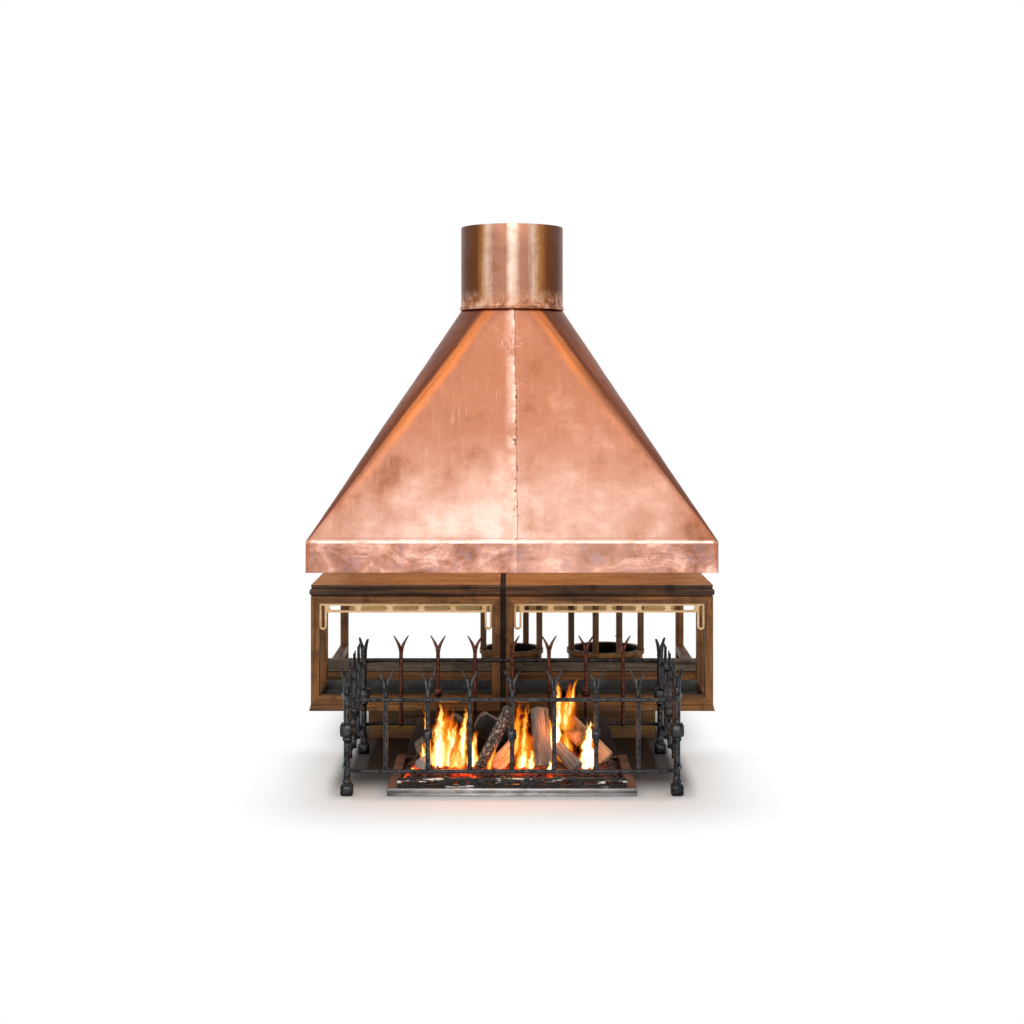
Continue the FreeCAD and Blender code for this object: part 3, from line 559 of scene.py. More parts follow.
# Back bars: rust-red iron, with the fire's glow on them painted into the colour.
rust_and_fire_glow_iron = iron_finish("rust_and_fire_glow_iron", (50, 29, 23), (112, 66, 53), 1.0, 0.34)
plain_steel = iron_finish("plain_steel", (96, 96, 96), (168, 168, 168), 1.0, 0.4)
coal = iron_finish("coal", (14, 13, 13), (36, 33, 32), 0.0, 0.6)
slate = slate_finish()
bar_low, bar_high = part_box("tray_front_bar")
steel = steel_finish(bar_low.z, bar_high.z, bar_high.x)
tray_metal = heated_finish("tray_metal", (86, 58, 46), (146, 102, 82))
scorched = heated_finish("scorched_iron", (26, 18, 16), (52, 34, 28))
grate_iron = grate_finish()
brass = brass_finish()
# Logs: ash, body and charred tones
bark = bark_finish("log_bark", (134, 127, 121), (95, 90, 86), (40, 36, 34))
# A brighter copy of the bark: painted light for the small log in shade at the front left.
painted_lit_bark = bark_finish("painted_lit_bark", (200, 184, 172), (154, 138, 127), (58, 48, 44))
# Logs beside the flames: a peach split-face tone, with the fire's glow on them painted in.
split_face_and_fire_glow_bark = bark_finish("split_face_and_fire_glow_bark", (240, 186, 144), (214, 152, 110), (104, 68, 50))
burnt_bark = bark_finish("burnt_bark", (150, 132, 120), (112, 96, 86), (52, 42, 37))
charred_bark = charcoal_finish()
embers = ember_finish()
flame = flame_finish()


# Mesh helpers
def keep(name, mesh, finishes, replaced, body="hearth", smooth=True):
    """Adds a piece that rides on a body and stands for its solids."""
    for finish in finishes:
        mesh.materials.append(finish)
    for polygon in mesh.polygons:
        polygon.use_smooth = smooth
    piece = bpy.data.objects.new(name, mesh)
    bpy.context.scene.collection.objects.link(piece)
    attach(piece, body)
    if replaced:
        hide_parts(*replaced)
    return piece


def new_mesh(name, points, faces):
    mesh = bpy.data.meshes.new(name)
    mesh.from_pydata([tuple(point) for point in points], [], faces)
    mesh.update()
    return mesh


def point_values(mesh, name, values):
    """Stores one number for each point, for a material to read."""
    mesh.attributes.new(name, "FLOAT", "POINT").data.foreach_set("value", values)


def point_vectors(mesh, name, vectors):
    flat = [number for vector in vectors for number in vector]
    mesh.attributes.new(name, "FLOAT_VECTOR", "POINT").data.foreach_set("vector", flat)


class Loft:
    """Collects skins drawn through rings of points, in one mesh."""

    def __init__(self):
        self.points = []
        self.faces = []

    def skin(self, rings, caps=True):
        first = len(self.points)
        count = len(rings[0])
        for ring in rings:
            self.points.extend(ring)
        for row in range(len(rings) - 1):
            for index in range(count):
                after = (index + 1) % count
                low = first + row * count
                self.faces.append((low + index, low + after, low + count + after, low + count + index))
        if caps:
            last = first + (len(rings) - 1) * count
            self.faces.append(tuple(first + index for index in reversed(range(count))))
            self.faces.append(tuple(last + index for index in range(count)))

    def mesh(self, name):
        return new_mesh(name, self.points, self.faces)


def grid_faces(first, rows, columns):
    """Faces of a grid of points that follow each other row by row."""
    wide = columns + 1
    faces = []
    for row in range(rows):
        for column in range(columns):
            corner = first + row * wide + column
            faces.append((corner, corner + 1, corner + wide + 1, corner + wide))
    return faces


def add_lump(points, faces, middle, size, seed, swell, pitch, stretch=(1, 1, 1)):
    """Adds a swollen ball to the points and faces, and returns the number of its points."""
    lump = bmesh.new()
    bmesh.ops.create_icosphere(lump, subdivisions=2, radius=size)
    first = len(points)
    for vert in lump.verts:
        spot = vert.co * (1 + swell * noise.noise(vert.co / size * pitch + seed))
        points.append(middle + spot * Vector(stretch))
    faces.extend(tuple(first + vert.index for vert in face.verts) for face in lump.faces)
    lump.free()
    return len(points) - first


# Timber and flat metal: the solids with softened edges
def islands(bm):
    """Groups of joined points."""
    groups = []
    seen = set()
    for start in bm.verts:
        if start in seen:
            continue
        seen.add(start)
        group = [start]
        for vert in group:
            for edge in vert.link_edges:
                other = edge.other_vert(vert)
                if other not in seen:
                    seen.add(other)
                    group.append(other)
        groups.append(group)
    return groups


SHARP = math.radians(25)
PLANAR = math.radians(0.6)
GRAIN_STEP = 3.7
WELD = 1e-6
CUT_REACH = 1e-5
EDGE_PROFILE = 0.6


def face_order(face):
    """Axes by the face's reach along them, longest first."""
    spans = []
    for axis in range(3):
        values = [vert.co[axis] for vert in face.verts]
        spans.append((max(values) - min(values), axis))
    return [axis for span, axis in sorted(spans, reverse=True)]


def soften(node, finishes, width, pick=None, cuts=(), segments=2):
    """Copy of a solid with softened edges and grain along each face, cut where its finishes part."""
    bm = bmesh.new()
    bm.from_mesh(nodes[node].data)
    bmesh.ops.remove_doubles(bm, verts=bm.verts, dist=WELD)
    bmesh.ops.dissolve_limit(bm, angle_limit=PLANAR, verts=bm.verts, edges=bm.edges)
    for level in cuts:
        bmesh.ops.bisect_plane(bm, geom=bm.verts[:] + bm.edges[:] + bm.faces[:], dist=CUT_REACH,
                               plane_co=(0, 0, level), plane_no=(0, 0, 1))
    sharp = [edge for edge in bm.edges if len(edge.link_faces) == 2 and edge.calc_face_angle(0) > SHARP]
    made = bmesh.ops.bevel(bm, geom=sharp, offset=width, segments=segments, profile=EDGE_PROFILE,
                           affect="EDGES", clamp_overlap=True)
    rounded = set(made["faces"])
    arris = bm.faces.layers.float.new("arris")
    for face in bm.faces:
        face[arris] = 1.0 if face in rounded else 0.0
        if pick is not None:
            face.material_index = pick(face)
    grain = bm.loops.layers.float_vector.new("grain")
    for number, group in enumerate(islands(bm)):
        for face in {face for vert in group for face in vert.link_faces}:
            order = face_order(face)
            shift = GRAIN_STEP * (number * 3 + order[0])
            for corner in face.loops:
                corner[grain] = Vector([corner.vert.co[axis] + shift for axis in order])
    mesh = bpy.data.meshes.new(node + "_edges")
    bm.to_mesh(mesh)
    bm.free()
    keep(node + "_dressed", mesh, finishes, [node], frame_body(node), smooth=False)
    for polygon in mesh.polygons:
        polygon.use_smooth = bool(mesh.attributes["arris"].data[polygon.index].value)


def frame_body(node):
    for body, members in frame["record"]["behaviour"]["bodies"].items():
        if node in members:
            return body


board_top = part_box("left_board")[1].z
board_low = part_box("left_board")[0].z
QUIRK_SHARE = 0.82
# Least upward lean of a face that counts as a top or a floor
FACING_UP = 0.5


def board_part(face):
    """0 for a board's top, 1 for its dark nosed edge."""
    level = (face.calc_center_median().z - board_low) / (board_top - board_low)
    return 0 if level > QUIRK_SHARE and face.normal.z > FACING_UP else 1


# Lumps on the grate: middle and spread across, clear ends, sizes, and lowest place above the grate's foot
GRATE_LUMPS = 70
GRATE_MID = 0.01
GRATE_SPREAD = 0.11
GRATE_CLEAR = 0.01
GRATE_SIZES = (0.004, 0.008)
GRATE_RISE = 0.006


def grate_coals():
    """Black lumps and clinker caught on the grate."""
    low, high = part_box("front_grate")
    points = []
    faces = []
    for number in range(GRATE_LUMPS):
        x = random.gauss(GRATE_MID, GRATE_SPREAD)
        if not low.x + GRATE_CLEAR < x < high.x - GRATE_CLEAR:
            continue
        size = random.uniform(*GRATE_SIZES)
        y = mix(low.y, high.y, random.random())
        z = mix(low.z + GRATE_RISE, high.z, random.random() ** 0.7)
        seed = Vector((number * 0.53, number * 0.29, 0))
        add_lump(points, faces, Vector((x, y, z)), size, seed, 0.6, 0.9, (1.5, 0.8, 0.8))
    keep("grate_coals", new_mesh("grate_coals", points, faces), [coal], [], smooth=False)


# Levels that part the riser's slate upstand, brown plank, open joint and grey plank
RISER_LEVELS = (0.147, 0.171, 0.1755)
# Level between the rear lip and the frieze, depth of a drum's rim, and lean of its inner faces
FRIEZE_Z = 0.3
RIM_DEPTH = 0.03
INWARD = -0.2


def riser_part(face):
    z = face.calc_center_median().z
    return sum(z > level for level in RISER_LEVELS)


def rear_part(face):
    """0 for the lip on the deck, 1 for the frieze under the boards."""
    return 1 if face.calc_center_median().z > FRIEZE_Z else 0


def drum_part(node):
    """Chooses the light outside and rim of a drum or its dark inside."""
    low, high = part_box(node)
    middle = (low + high) / 2

    def part(face):
        out = face.calc_center_median() - middle
        out.z = 0
        is_floor = face.normal.z > FACING_UP and face.calc_center_median().z < high.z - RIM_DEPTH
        return 1 if is_floor or face.normal.dot(out) < INWARD * out.length else 0
    return part


# Widths of softened edges
BOARD_EDGE = 0.0015
FRAME_EDGE = 0.0014
APRON_EDGE = 0.0016
SLAB_EDGE = 0.0012
DRUM_EDGE = 0.002
GRATE_EDGE = 0.0015
BAR_EDGE = 0.0008
SHEET_EDGE = 0.0006
PIPE_EDGE = 0.0005
SKIRT_EDGE = 0.0014


def console():
    for side in ("left", "right"):
        soften(side + "_board", [board_wood, nose_wood], BOARD_EDGE, board_part)
        for part in ("_base_board", "_facing_frame", "_side_rails"):
            soften(side + part, [frame_wood], FRAME_EDGE)
        soften(side + "_apron", [light_wood], APRON_EDGE)
        soften(side + "_floor_slate", [slate], SLAB_EDGE)
    soften("riser_board", [slate, frame_wood, dark_wood, grey_wood], SLAB_EDGE, riser_part,
           RISER_LEVELS)
    soften("riser_cap", [grey_wood], FRAME_EDGE)
    soften("gallery_rear_rails", [frame_wood, frieze_wood], FRAME_EDGE, rear_part)
    for node in ("mid_posts", "gallery_side_rails", "gallery_posts", "gallery_deck", "centre_drum_posts",
                 "right_drum_posts"):
        soften(node, [frame_wood], FRAME_EDGE)
    for node in ("centre_drum", "right_drum"):
        soften(node, [drum_wood, dark_wood], DRUM_EDGE, drum_part(node))
    soften("centre_divider", [dark_wood], SLAB_EDGE)
    for node in ("plinth_front", "plinth_carcass"):
        soften(node, [plinth_wood], BOARD_EDGE)


def hearth_metal():
    soften("hearth_plate", [scorched], SLAB_EDGE)
    soften("burner_tray", [tray_metal], SHEET_EDGE)
    soften("tray_front_bar", [steel], BAR_EDGE)
    soften("front_grate", [grate_iron], GRATE_EDGE)
    grate_coals()
    soften("fireback", [scorched], BAR_EDGE)
    soften("support_ring", [plain_steel], SHEET_EDGE)
    soften("hood_standoffs", [plain_steel], SHEET_EDGE)
    for node in ("burner_pipe", "supply_pipe", "gas_tap_body", "gas_tap_lever"):
        soften(node, [brass], PIPE_EDGE)


# Hood
HOOD_HALF = hood_high.x
HOOD_MID = (hood_low.y + hood_high.y) / 2
HOOD_SHEET = 0.003
CORNER_R = 0.006
FLAT_STEPS = 56
FOLD_STEPS = 30
HOOD_ROWS = 72
DENT = 0.0016
DENT_RISE = 0.6
FOLD_SPREAD = 0.2
FACE_ARC = math.radians(24)
SIDE_ARC = math.radians(4)
BAND_ARC = math.radians(21)
FLUE_WALL = 0.002
FLUE_LIP = 0.001
FLUE_SIDES = 96
# Bead at the flue's foot: how far out and how high
FLUE_FOOT = ((0.0035, 0), (FLUE_BEAD, 0.004), (0.002, 0.009), (0, 0.014))
# Keeps the brush marks of one side apart from the next side's
SIDE_STEP = 7


def hood_ring(share):
    """Points, fold values and lengths round the canopy, at a share of its height."""
    points = []
    folds = []
    around = []
    flat = HOOD_HALF * (1 - share)
    bend = FLUE_R * share
    corner = Vector((HOOD_HALF - CORNER_R, CORNER_R - HOOD_HALF, 0))
    for side in range(4):
        turn = Matrix.Rotation(side * math.pi / 2, 3, "Z")
        arc, next_arc = (SIDE_ARC, FACE_ARC) if side % 2 else (FACE_ARC, SIDE_ARC)
        for step in range(FLAT_STEPS):
            across = mix(-1, 1, step / FLAT_STEPS)
            start = Vector((across * (HOOD_HALF - CORNER_R), -HOOD_HALF, 0))
            points.append(turn @ start.lerp(Vector((0, -FLUE_R, 0)), share))
            inset = (1 - abs(across)) * flat + bend * arc
            folds.append(0.5 - min(0.5, inset / FOLD_SPREAD))
            around.append(across * flat + SIDE_STEP * side)
        for step in range(FOLD_STEPS):
            angle = mix(0, math.pi / 2, step / FOLD_STEPS)
            ray = Vector((math.sin(angle), -math.cos(angle), 0))
            points.append(turn @ (corner + ray * CORNER_R).lerp(ray * FLUE_R, share))
            left = math.pi / 2 - angle
            past = min(angle - arc, left - next_arc)
            if past < 0:
                folds.append(0.5 - min(0.5, -past * bend / FOLD_SPREAD))
            else:
                folds.append(0.5 + 0.5 * min(1, past / BAND_ARC))
            if angle < left:
                around.append(flat + angle * bend + SIDE_STEP * side)
            else:
                around.append(SIDE_STEP * ((side + 1) % 4) - flat - left * bend)
    return points, folds, around


def canopy():
    loft = Loft()
    rings = []
    values = []
    lengths = []
    for row in range(HOOD_ROWS + 1):
        share = row / HOOD_ROWS
        z = mix(hood_low.z, hood_high.z, share)
        points, folds, around = hood_ring(share)
        ring = []
        for point in points:
            spot = Vector((point.x, point.y, z))
            out = Vector((point.x, point.y, HOOD_HALF * DENT_RISE)).normalized()
            hold = math.sin(math.pi * share) ** 0.4 if 0 < share < 1 else 0
            wave = noise.noise(spot * 5) + 0.5 * noise.noise(spot * 17)
            dent = DENT * wave * hold
            ring.append(spot + out * (dent - DENT) + Vector((0, HOOD_MID, 0)))
        rings.append(ring)
        values.extend(folds)
        lengths.extend(around)
    loft.skin(rings, caps=False)
    mesh = loft.mesh("canopy")
    point_values(mesh, "fold", values)
    point_values(mesh, "around", lengths)
    piece = keep("canopy_sheet", mesh, [copper], ["hood_canopy"])
    sheet = piece.modifiers.new("sheet", "SOLIDIFY")
    sheet.thickness = HOOD_SHEET
    sheet.offset = -1


def skirt():
    soften("hood_skirt", [skirt_copper], SKIRT_EDGE, segments=3)


def flue():
    low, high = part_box("flue_collar")
    half_way = mix(low.z, high.z, 0.5)
    inner = FLUE_R - FLUE_WALL
    profile = [(inner, low.z)]
    profile += [(FLUE_R + out, low.z + up) for out, up in FLUE_FOOT]
    profile += [(FLUE_R, half_way), (FLUE_R, high.z - FLUE_LIP), (FLUE_R - FLUE_WALL / 2, high.z),
                (inner, high.z - FLUE_LIP), (inner, half_way)]
    rings = []
    for index in range(FLUE_SIDES):
        angle = 2 * math.pi * index / FLUE_SIDES
        ray = Vector((math.cos(angle), math.sin(angle), 0))
        rings.append([ray * radius + Vector((0, HOOD_MID, z)) for radius, z in profile])
    rings.append(rings[0])
    loft = Loft()
    loft.skin(rings, caps=False)
    keep("flue_pipe", loft.mesh("flue"), [flue_copper], ["flue_collar"])


# Fence
BAR_D = 0.012
BAR_LOW = 0.071
BAR_PITCH = 0.1125
BARS_ACROSS = 7
BARS_ALONG = 3
POST_D = 0.0175
CORNER = 0.060
RAIL_LOW = 0.078
RAIL_HIGH = 0.269
FORK_ROOT = 0.296
FORK_TIP = 0.345
FORK_SPREAD = 0.048
FORK_CROTCH_SHARE = 0.42
FORK_TIP_W = 0.004
FORK_TIP_DEEP = 0.004
FORK_SINK = 0.004
FORK_STEPS = 15
FORK_CLOSE = 0.25
FORK_CLOSE_H = 0.001
BEAD_MID = 0.170
BEAD_D = 0.024
BEAD_H = 0.034
BAR_SIDES = 14
RING_STEP = 0.005
HAMMER = 0.00022
RAIL_STEP = 0.016
CORNER_STEPS = 8
# A bar's swelling at the rails and its reach, how far a bar bites into them, and the side bars' set
LAP = 0.0012
LAP_REACH = 0.007
BITE = 0.002
SIDE_SET = 0.005
# Squareness of a bar, of the fork's root and of its prongs
BAR_SQUARE = 0.25
ROOT_SQUARE = 0.3
FORK_SQUARE = 0.45
# Height, width and squareness of a bead's rings, as shares
BEAD_SHARES = ((-0.50, 0.52, 0.2), (-0.46, 0.62, 0.5), (-0.40, 0.68, 0.6), (-0.30, 0.68, 0.6),
               (-0.26, 0.60, 0.4), (-0.24, 0.60, 0.4), (-0.215, 0.84, 0.9), (-0.17, 0.95, 0.95),
               (-0.08, 1.00, 0.95), (0.15, 1.02, 0.95), (0.36, 1.00, 0.95), (0.44, 0.95, 0.95),
               (0.485, 0.84, 0.9), (0.50, 0.56, 0.3))
# Height, width and squareness of a foot's rings
FOOT = ((0.0000, 0.0270, 0.90), (0.0020, 0.0320, 0.95), (0.0090, 0.0340, 0.95), (0.0190, 0.0340, 0.95),
        (0.0250, 0.0335, 0.95), (0.0290, 0.0305, 0.90), (0.0305, 0.0240, 0.70), (0.0325, 0.0205, 0.50),
        (0.0345, 0.0225, 0.70), (0.0400, 0.0230, 0.70), (0.0425, 0.0200, 0.40), (0.0450, 0.0180, 0.25))


def section(middle, across, deep, squareness, turn):
    """Level ring between a round and a square one, with hammer marks."""
    ring = []
    for index in range(BAR_SIDES):
        angle = 2 * math.pi * (index + 0.5) / BAR_SIDES
        ray = Vector((math.cos(angle), math.sin(angle), 0))
        stretch = max(abs(ray.x), abs(ray.y)) ** -squareness
        point = Vector((ray.x * across / 2 * stretch, ray.y * deep / 2 * stretch, 0))
        spot = middle + turn @ point
        ring.append(spot + (turn @ ray) * HAMMER * noise.noise(spot * 85))
    return ring


def bar_stations(diameter, foot, has_bead):
    """Height, width and squareness up a bar, to the root of its fork."""
    scale = diameter / BAR_D
    stations = list(foot)
    z = foot[-1][0] + RING_STEP if foot else BAR_LOW
    bead_reach = BEAD_H * scale / 2
    beaded = False
    while z < FORK_ROOT:
        if has_bead and abs(z - BEAD_MID) < bead_reach:
            if not beaded:
                for up, across, squareness in BEAD_SHARES:
                    stations.append((BEAD_MID + BEAD_H * scale * up, BEAD_D * scale * across, squareness))
            beaded = True
        else:
            near = min(abs(z - RAIL_LOW), abs(z - RAIL_HIGH))
            stations.append((z, diameter + LAP * math.exp(-(near / LAP_REACH) ** 2), BAR_SQUARE))
        z += RING_STEP
    stations.append((FORK_ROOT, diameter, ROOT_SQUARE))
    return stations


def forked_bar(loft, x, y, turn_angle, diameter, foot=(), has_bead=False):
    """Forged upright with a curled fork across it."""
    turn = Matrix.Rotation(turn_angle, 3, "Z")
    level = Matrix.Identity(3)
    spot = Vector((x, y, 0))
    rings = []
    for z, across, squareness in bar_stations(diameter, foot, has_bead):
        upright = level if z < BEAD_MID + BEAD_H else turn
        rings.append(section(spot + Vector((0, 0, z)), across, across, squareness, upright))
    loft.skin(rings)
    for hand in (-1, 1):
        rings = []
        for step in range(FORK_STEPS + 2):
            share = min(1, step / FORK_STEPS)
            closes = step > FORK_STEPS
            z = mix(FORK_ROOT - FORK_SINK, FORK_TIP, share) + (FORK_CLOSE_H if closes else 0)
            outer = mix(diameter / 2, FORK_SPREAD / 2, share ** 1.6)
            opened = max(0, share - FORK_CROTCH_SHARE) / (1 - FORK_CROTCH_SHARE)
            inner = (FORK_SPREAD / 2 - FORK_TIP_W * (diameter / BAR_D) ** 2) * opened ** 1.2
            deep = mix(diameter * 0.9, FORK_TIP_DEEP, share)
            shrink = FORK_CLOSE if closes else 1
            middle = spot + turn @ Vector((hand * (inner + outer) / 2, 0, z))
            rings.append(section(middle, (outer - inner) * shrink, deep * shrink, FORK_SQUARE, turn))
        loft.skin(rings)


def rail(name, z, node):
    """Hammered round bar bent into a rectangle with round corners."""
    path = []
    middle = FENCE_DEEP / 2
    for side in range(4):
        run = (FENCE_HALF if side % 2 == 0 else middle) - CORNER
        out = (middle if side % 2 == 0 else FENCE_HALF) - CORNER
        turn = Matrix.Rotation(side * math.pi / 2, 3, "Z")
        steps = int(2 * run / RAIL_STEP)
        for step in range(steps):
            straight = Vector((mix(-run, run, step / steps), -out - CORNER, 0))
            path.append((turn @ straight, turn @ Vector((0, -1, 0))))
        for step in range(CORNER_STEPS):
            angle = mix(-math.pi / 2, 0, step / CORNER_STEPS)
            ray = Vector((math.cos(angle), math.sin(angle), 0))
            path.append((turn @ (Vector((run, -out, 0)) + ray * CORNER), turn @ ray))
    rings = []
    for point, ray in path:
        ring = []
        for index in range(BAR_SIDES):
            angle = 2 * math.pi * index / BAR_SIDES
            way = ray * math.cos(angle) + Vector((0, 0, math.sin(angle)))
            spot = place(point.x, middle + point.y, z) + way * RAIL_D / 2
            ring.append(spot + way * HAMMER * (noise.noise(spot * 70) - 0.4))
        rings.append(ring)
    rings.append(rings[0])
    loft = Loft()
    loft.skin(rings, caps=False)
    keep(name, loft.mesh(name), [wrought_iron], [node])


def fence():
    rail("top_rail", RAIL_HIGH, "fence_top_rail")
    rail("bottom_rail", RAIL_LOW, "fence_bottom_rail")
    bar_set = (RAIL_D + BAR_D) / 2 - BITE
    post_set = POST_D / 2
    middle = FRONT_Y + FENCE_DEEP / 2
    reach = FENCE_DEEP / 2 - CORNER
    for row, side in (("front", -1), ("back", 1)):
        loft = Loft()
        for index in range(BARS_ACROSS):
            x = (index - (BARS_ACROSS - 1) / 2) * BAR_PITCH
            forked_bar(loft, x, middle + side * (FENCE_DEEP / 2 - bar_set), 0, BAR_D, has_bead=index % 2)
        # The back bars take the rust-red iron with the painted fire glow.
        finish = wrought_iron if side < 0 else rust_and_fire_glow_iron
        keep(row + "_bars", loft.mesh(row + "_bars"), [finish], ["fence_" + row + "_bars"])
    for name, hand in (("left", -1), ("right", 1)):
        loft = Loft()
        pitch = 2 * reach / (BARS_ALONG + 1)
        for index in range(BARS_ALONG):
            y = middle + (index - (BARS_ALONG - 1) / 2) * pitch
            forked_bar(loft, hand * (FENCE_HALF - SIDE_SET), y, math.pi / 2, BAR_D, has_bead=index % 2)
        node = "fence_" + name + "_bars"
        keep(name + "_bars", loft.mesh(name + "_bars"), [wrought_iron], [node])
        for row, side in (("front", -1), ("back", 1)):
            loft = Loft()
            turn = hand * side * math.pi / 4
            forked_bar(loft, hand * (FENCE_HALF - post_set), middle + side * reach, turn, POST_D, FOOT, True)
            node = row + "_" + name + "_post"
            keep(node, loft.mesh(node), [wrought_iron], ["fence_" + node])


# Logs: two ends as distance across, depth and height, then the radius and the far end's share of it
LOGS = {
    "upright_log": ((0.086, 0.196, 0.040), (0.079, 0.276, 0.190), 0.028, 0.90, bark),
    "charred_log": ((-0.088, 0.204, 0.036), (-0.008, 0.300, 0.186), 0.020, 0.85, charred_bark),
    "right_log": ((0.262, 0.250, 0.046), (0.134, 0.318, 0.166), 0.032, 0.86, split_face_and_fire_glow_bark),
    "left_back_log": ((-0.262, 0.372, 0.046), (-0.146, 0.330, 0.142), 0.035, 0.88, burnt_bark),
    "back_log": ((0.030, 0.392, 0.052), (-0.092, 0.342, 0.144), 0.033, 0.88, burnt_bark),
    "left_small_log": ((-0.252, 0.158, 0.056), (-0.216, 0.300, 0.060), 0.018, 0.92, painted_lit_bark),
    "front_log": ((0.180, 0.162, 0.046), (0.126, 0.222, 0.098), 0.020, 0.88, bark),
    "centre_log": ((-0.052, 0.186, 0.040), (0.016, 0.236, 0.108), 0.024, 0.84, split_face_and_fire_glow_bark),
}
# Logs with a burnt-out face to the front, and logs split flat on that side
SCORCHED = ("left_back_log", "back_log")
SPLIT = ("upright_log", "right_log", "front_log", "centre_log")
SPLIT_SHARE = 0.70
LOG_SIDES = 40
LOG_ROWS = 36
LOG_LOBE = 0.13
LOG_RIDGE = 0.075
LOG_PIT = 0.03
LOG_SLANT = 0.12


def log(name, start, end, radius, far_share, finish):
    """Split log with bark ridges along it, a charred foot and rough sawn ends."""
    start = place(*start)
    end = place(*end)
    axis = (end - start).normalized()
    side = axis.cross(Vector((0.3, 1, 0.2))).normalized()
    other = axis.cross(side)
    length = (end - start).length
    seed = Vector((len(name) * 1.7, ord(name[0]) * 0.31, ord(name[1]) * 0.17))
    front = Vector((0.25, -1, 0.3))
    front = (front - axis * front.dot(axis)).normalized()
    rings = []
    grain = []
    char = []
    shares = [0, 0.004, 0.012] + [row / LOG_ROWS for row in range(1, LOG_ROWS)] + [0.988, 0.996, 1]
    insets = {0: 0.80, 0.004: 0.92, 0.988: 0.98, 0.996: 0.92, 1: 0.80}
    for share in shares:
        ring = []
        width = radius * mix(1, far_share, share) * insets.get(share, 1)
        for index in range(LOG_SIDES):
            angle = 2 * math.pi * index / LOG_SIDES
            ray = side * math.cos(angle) + other * math.sin(angle)
            lobe = noise.noise(ray * 0.9 + seed + Vector((0, 0, share * 0.8)))
            ridge = noise.noise(ray * 5.5 + seed + Vector((0, 0, share * 2.2)))
            pit = noise.noise((ray * width + axis * share * length) * 60 + seed)
            size = width * (0.97 + LOG_LOBE * lobe + LOG_RIDGE * ridge + LOG_PIT * pit)
            toward = ray.dot(front)
            if name in SPLIT and toward > 0.1:
                size = min(size, width * (SPLIT_SHARE + 0.05 * ridge + LOG_PIT * pit) / toward)
            slant = LOG_SLANT * radius * noise.noise(ray * 1.4 + seed) if share in (0, 1) else 0
            ring.append(start + axis * (share * length + slant) + ray * size)
            grain.append(Vector((share * length, ray.x * radius, ray.y * radius)) + seed)
            facing = 3 * (-0.15 - ray.y)
            burnt = min(1, max(0, facing)) * min(1, max(0, (share - 0.22) * 5)) if name in SCORCHED else 0
            char.append(max(burnt, 0.45 * abs(share - 0.55) + 0.2 * pit))
        rings.append(ring)
    loft = Loft()
    loft.skin(rings)
    mesh = loft.mesh(name + "_bark")
    point_vectors(mesh, "grain", grain)
    point_values(mesh, "char", char)
    keep(name + "_bark", mesh, [finish], [name])


# Ember bed: a rough crust with loose lumps
BED_COLUMNS = 150
BED_ROWS = 84
BED_SLOPE = 0.040
BED_BUMP = 0.006
BED_RIM = 0.008
LUMPS = 300
LUMP_SIZES = (0.004, 0.009)
LUMP_SINK = 0.002
LUMP_CLEAR = 0.012
LUMP_FRONT = 0.006
LUMP_BACK = 0.02
HEAT_SHARE = 0.42
# Hot places of the bed: distance across, depth, reach and heat
HOT_SPOTS = ((-0.165, 0.205, 0.080, 1.0), (-0.140, 0.128, 0.042, 1.0), (-0.055, 0.170, 0.040, 0.8),
             (0.030, 0.190, 0.060, 1.0), (0.028, 0.130, 0.030, 0.85), (0.105, 0.140, 0.046, 1.0),
             (0.205, 0.195, 0.050, 1.0), (-0.276, 0.208, 0.062, 1.15), (0.260, 0.150, 0.030, 0.5),
             (-0.262, 0.150, 0.034, 0.8), (-0.105, 0.108, 0.030, 0.9), (0.112, 0.106, 0.030, 0.9))


def heat_at(x, y):
    """How hot the bed is, by distance from its hot places."""
    hottest = 0
    for middle_x, depth, reach, heat in HOT_SPOTS:
        gap = math.hypot(x - middle_x, (y - FRONT_Y - depth) * 1.3)
        hottest = max(hottest, heat * math.exp(-(gap / reach) ** 2))
    return hottest


def bed_slope(low, high, x, y):
    """Distance from the bed's edge, and the height of its slope there."""
    edge = min(x - low.x, high.x - x, y - low.y, high.y - y)
    return edge, mix(low.z, high.z, min(1, edge / BED_SLOPE))


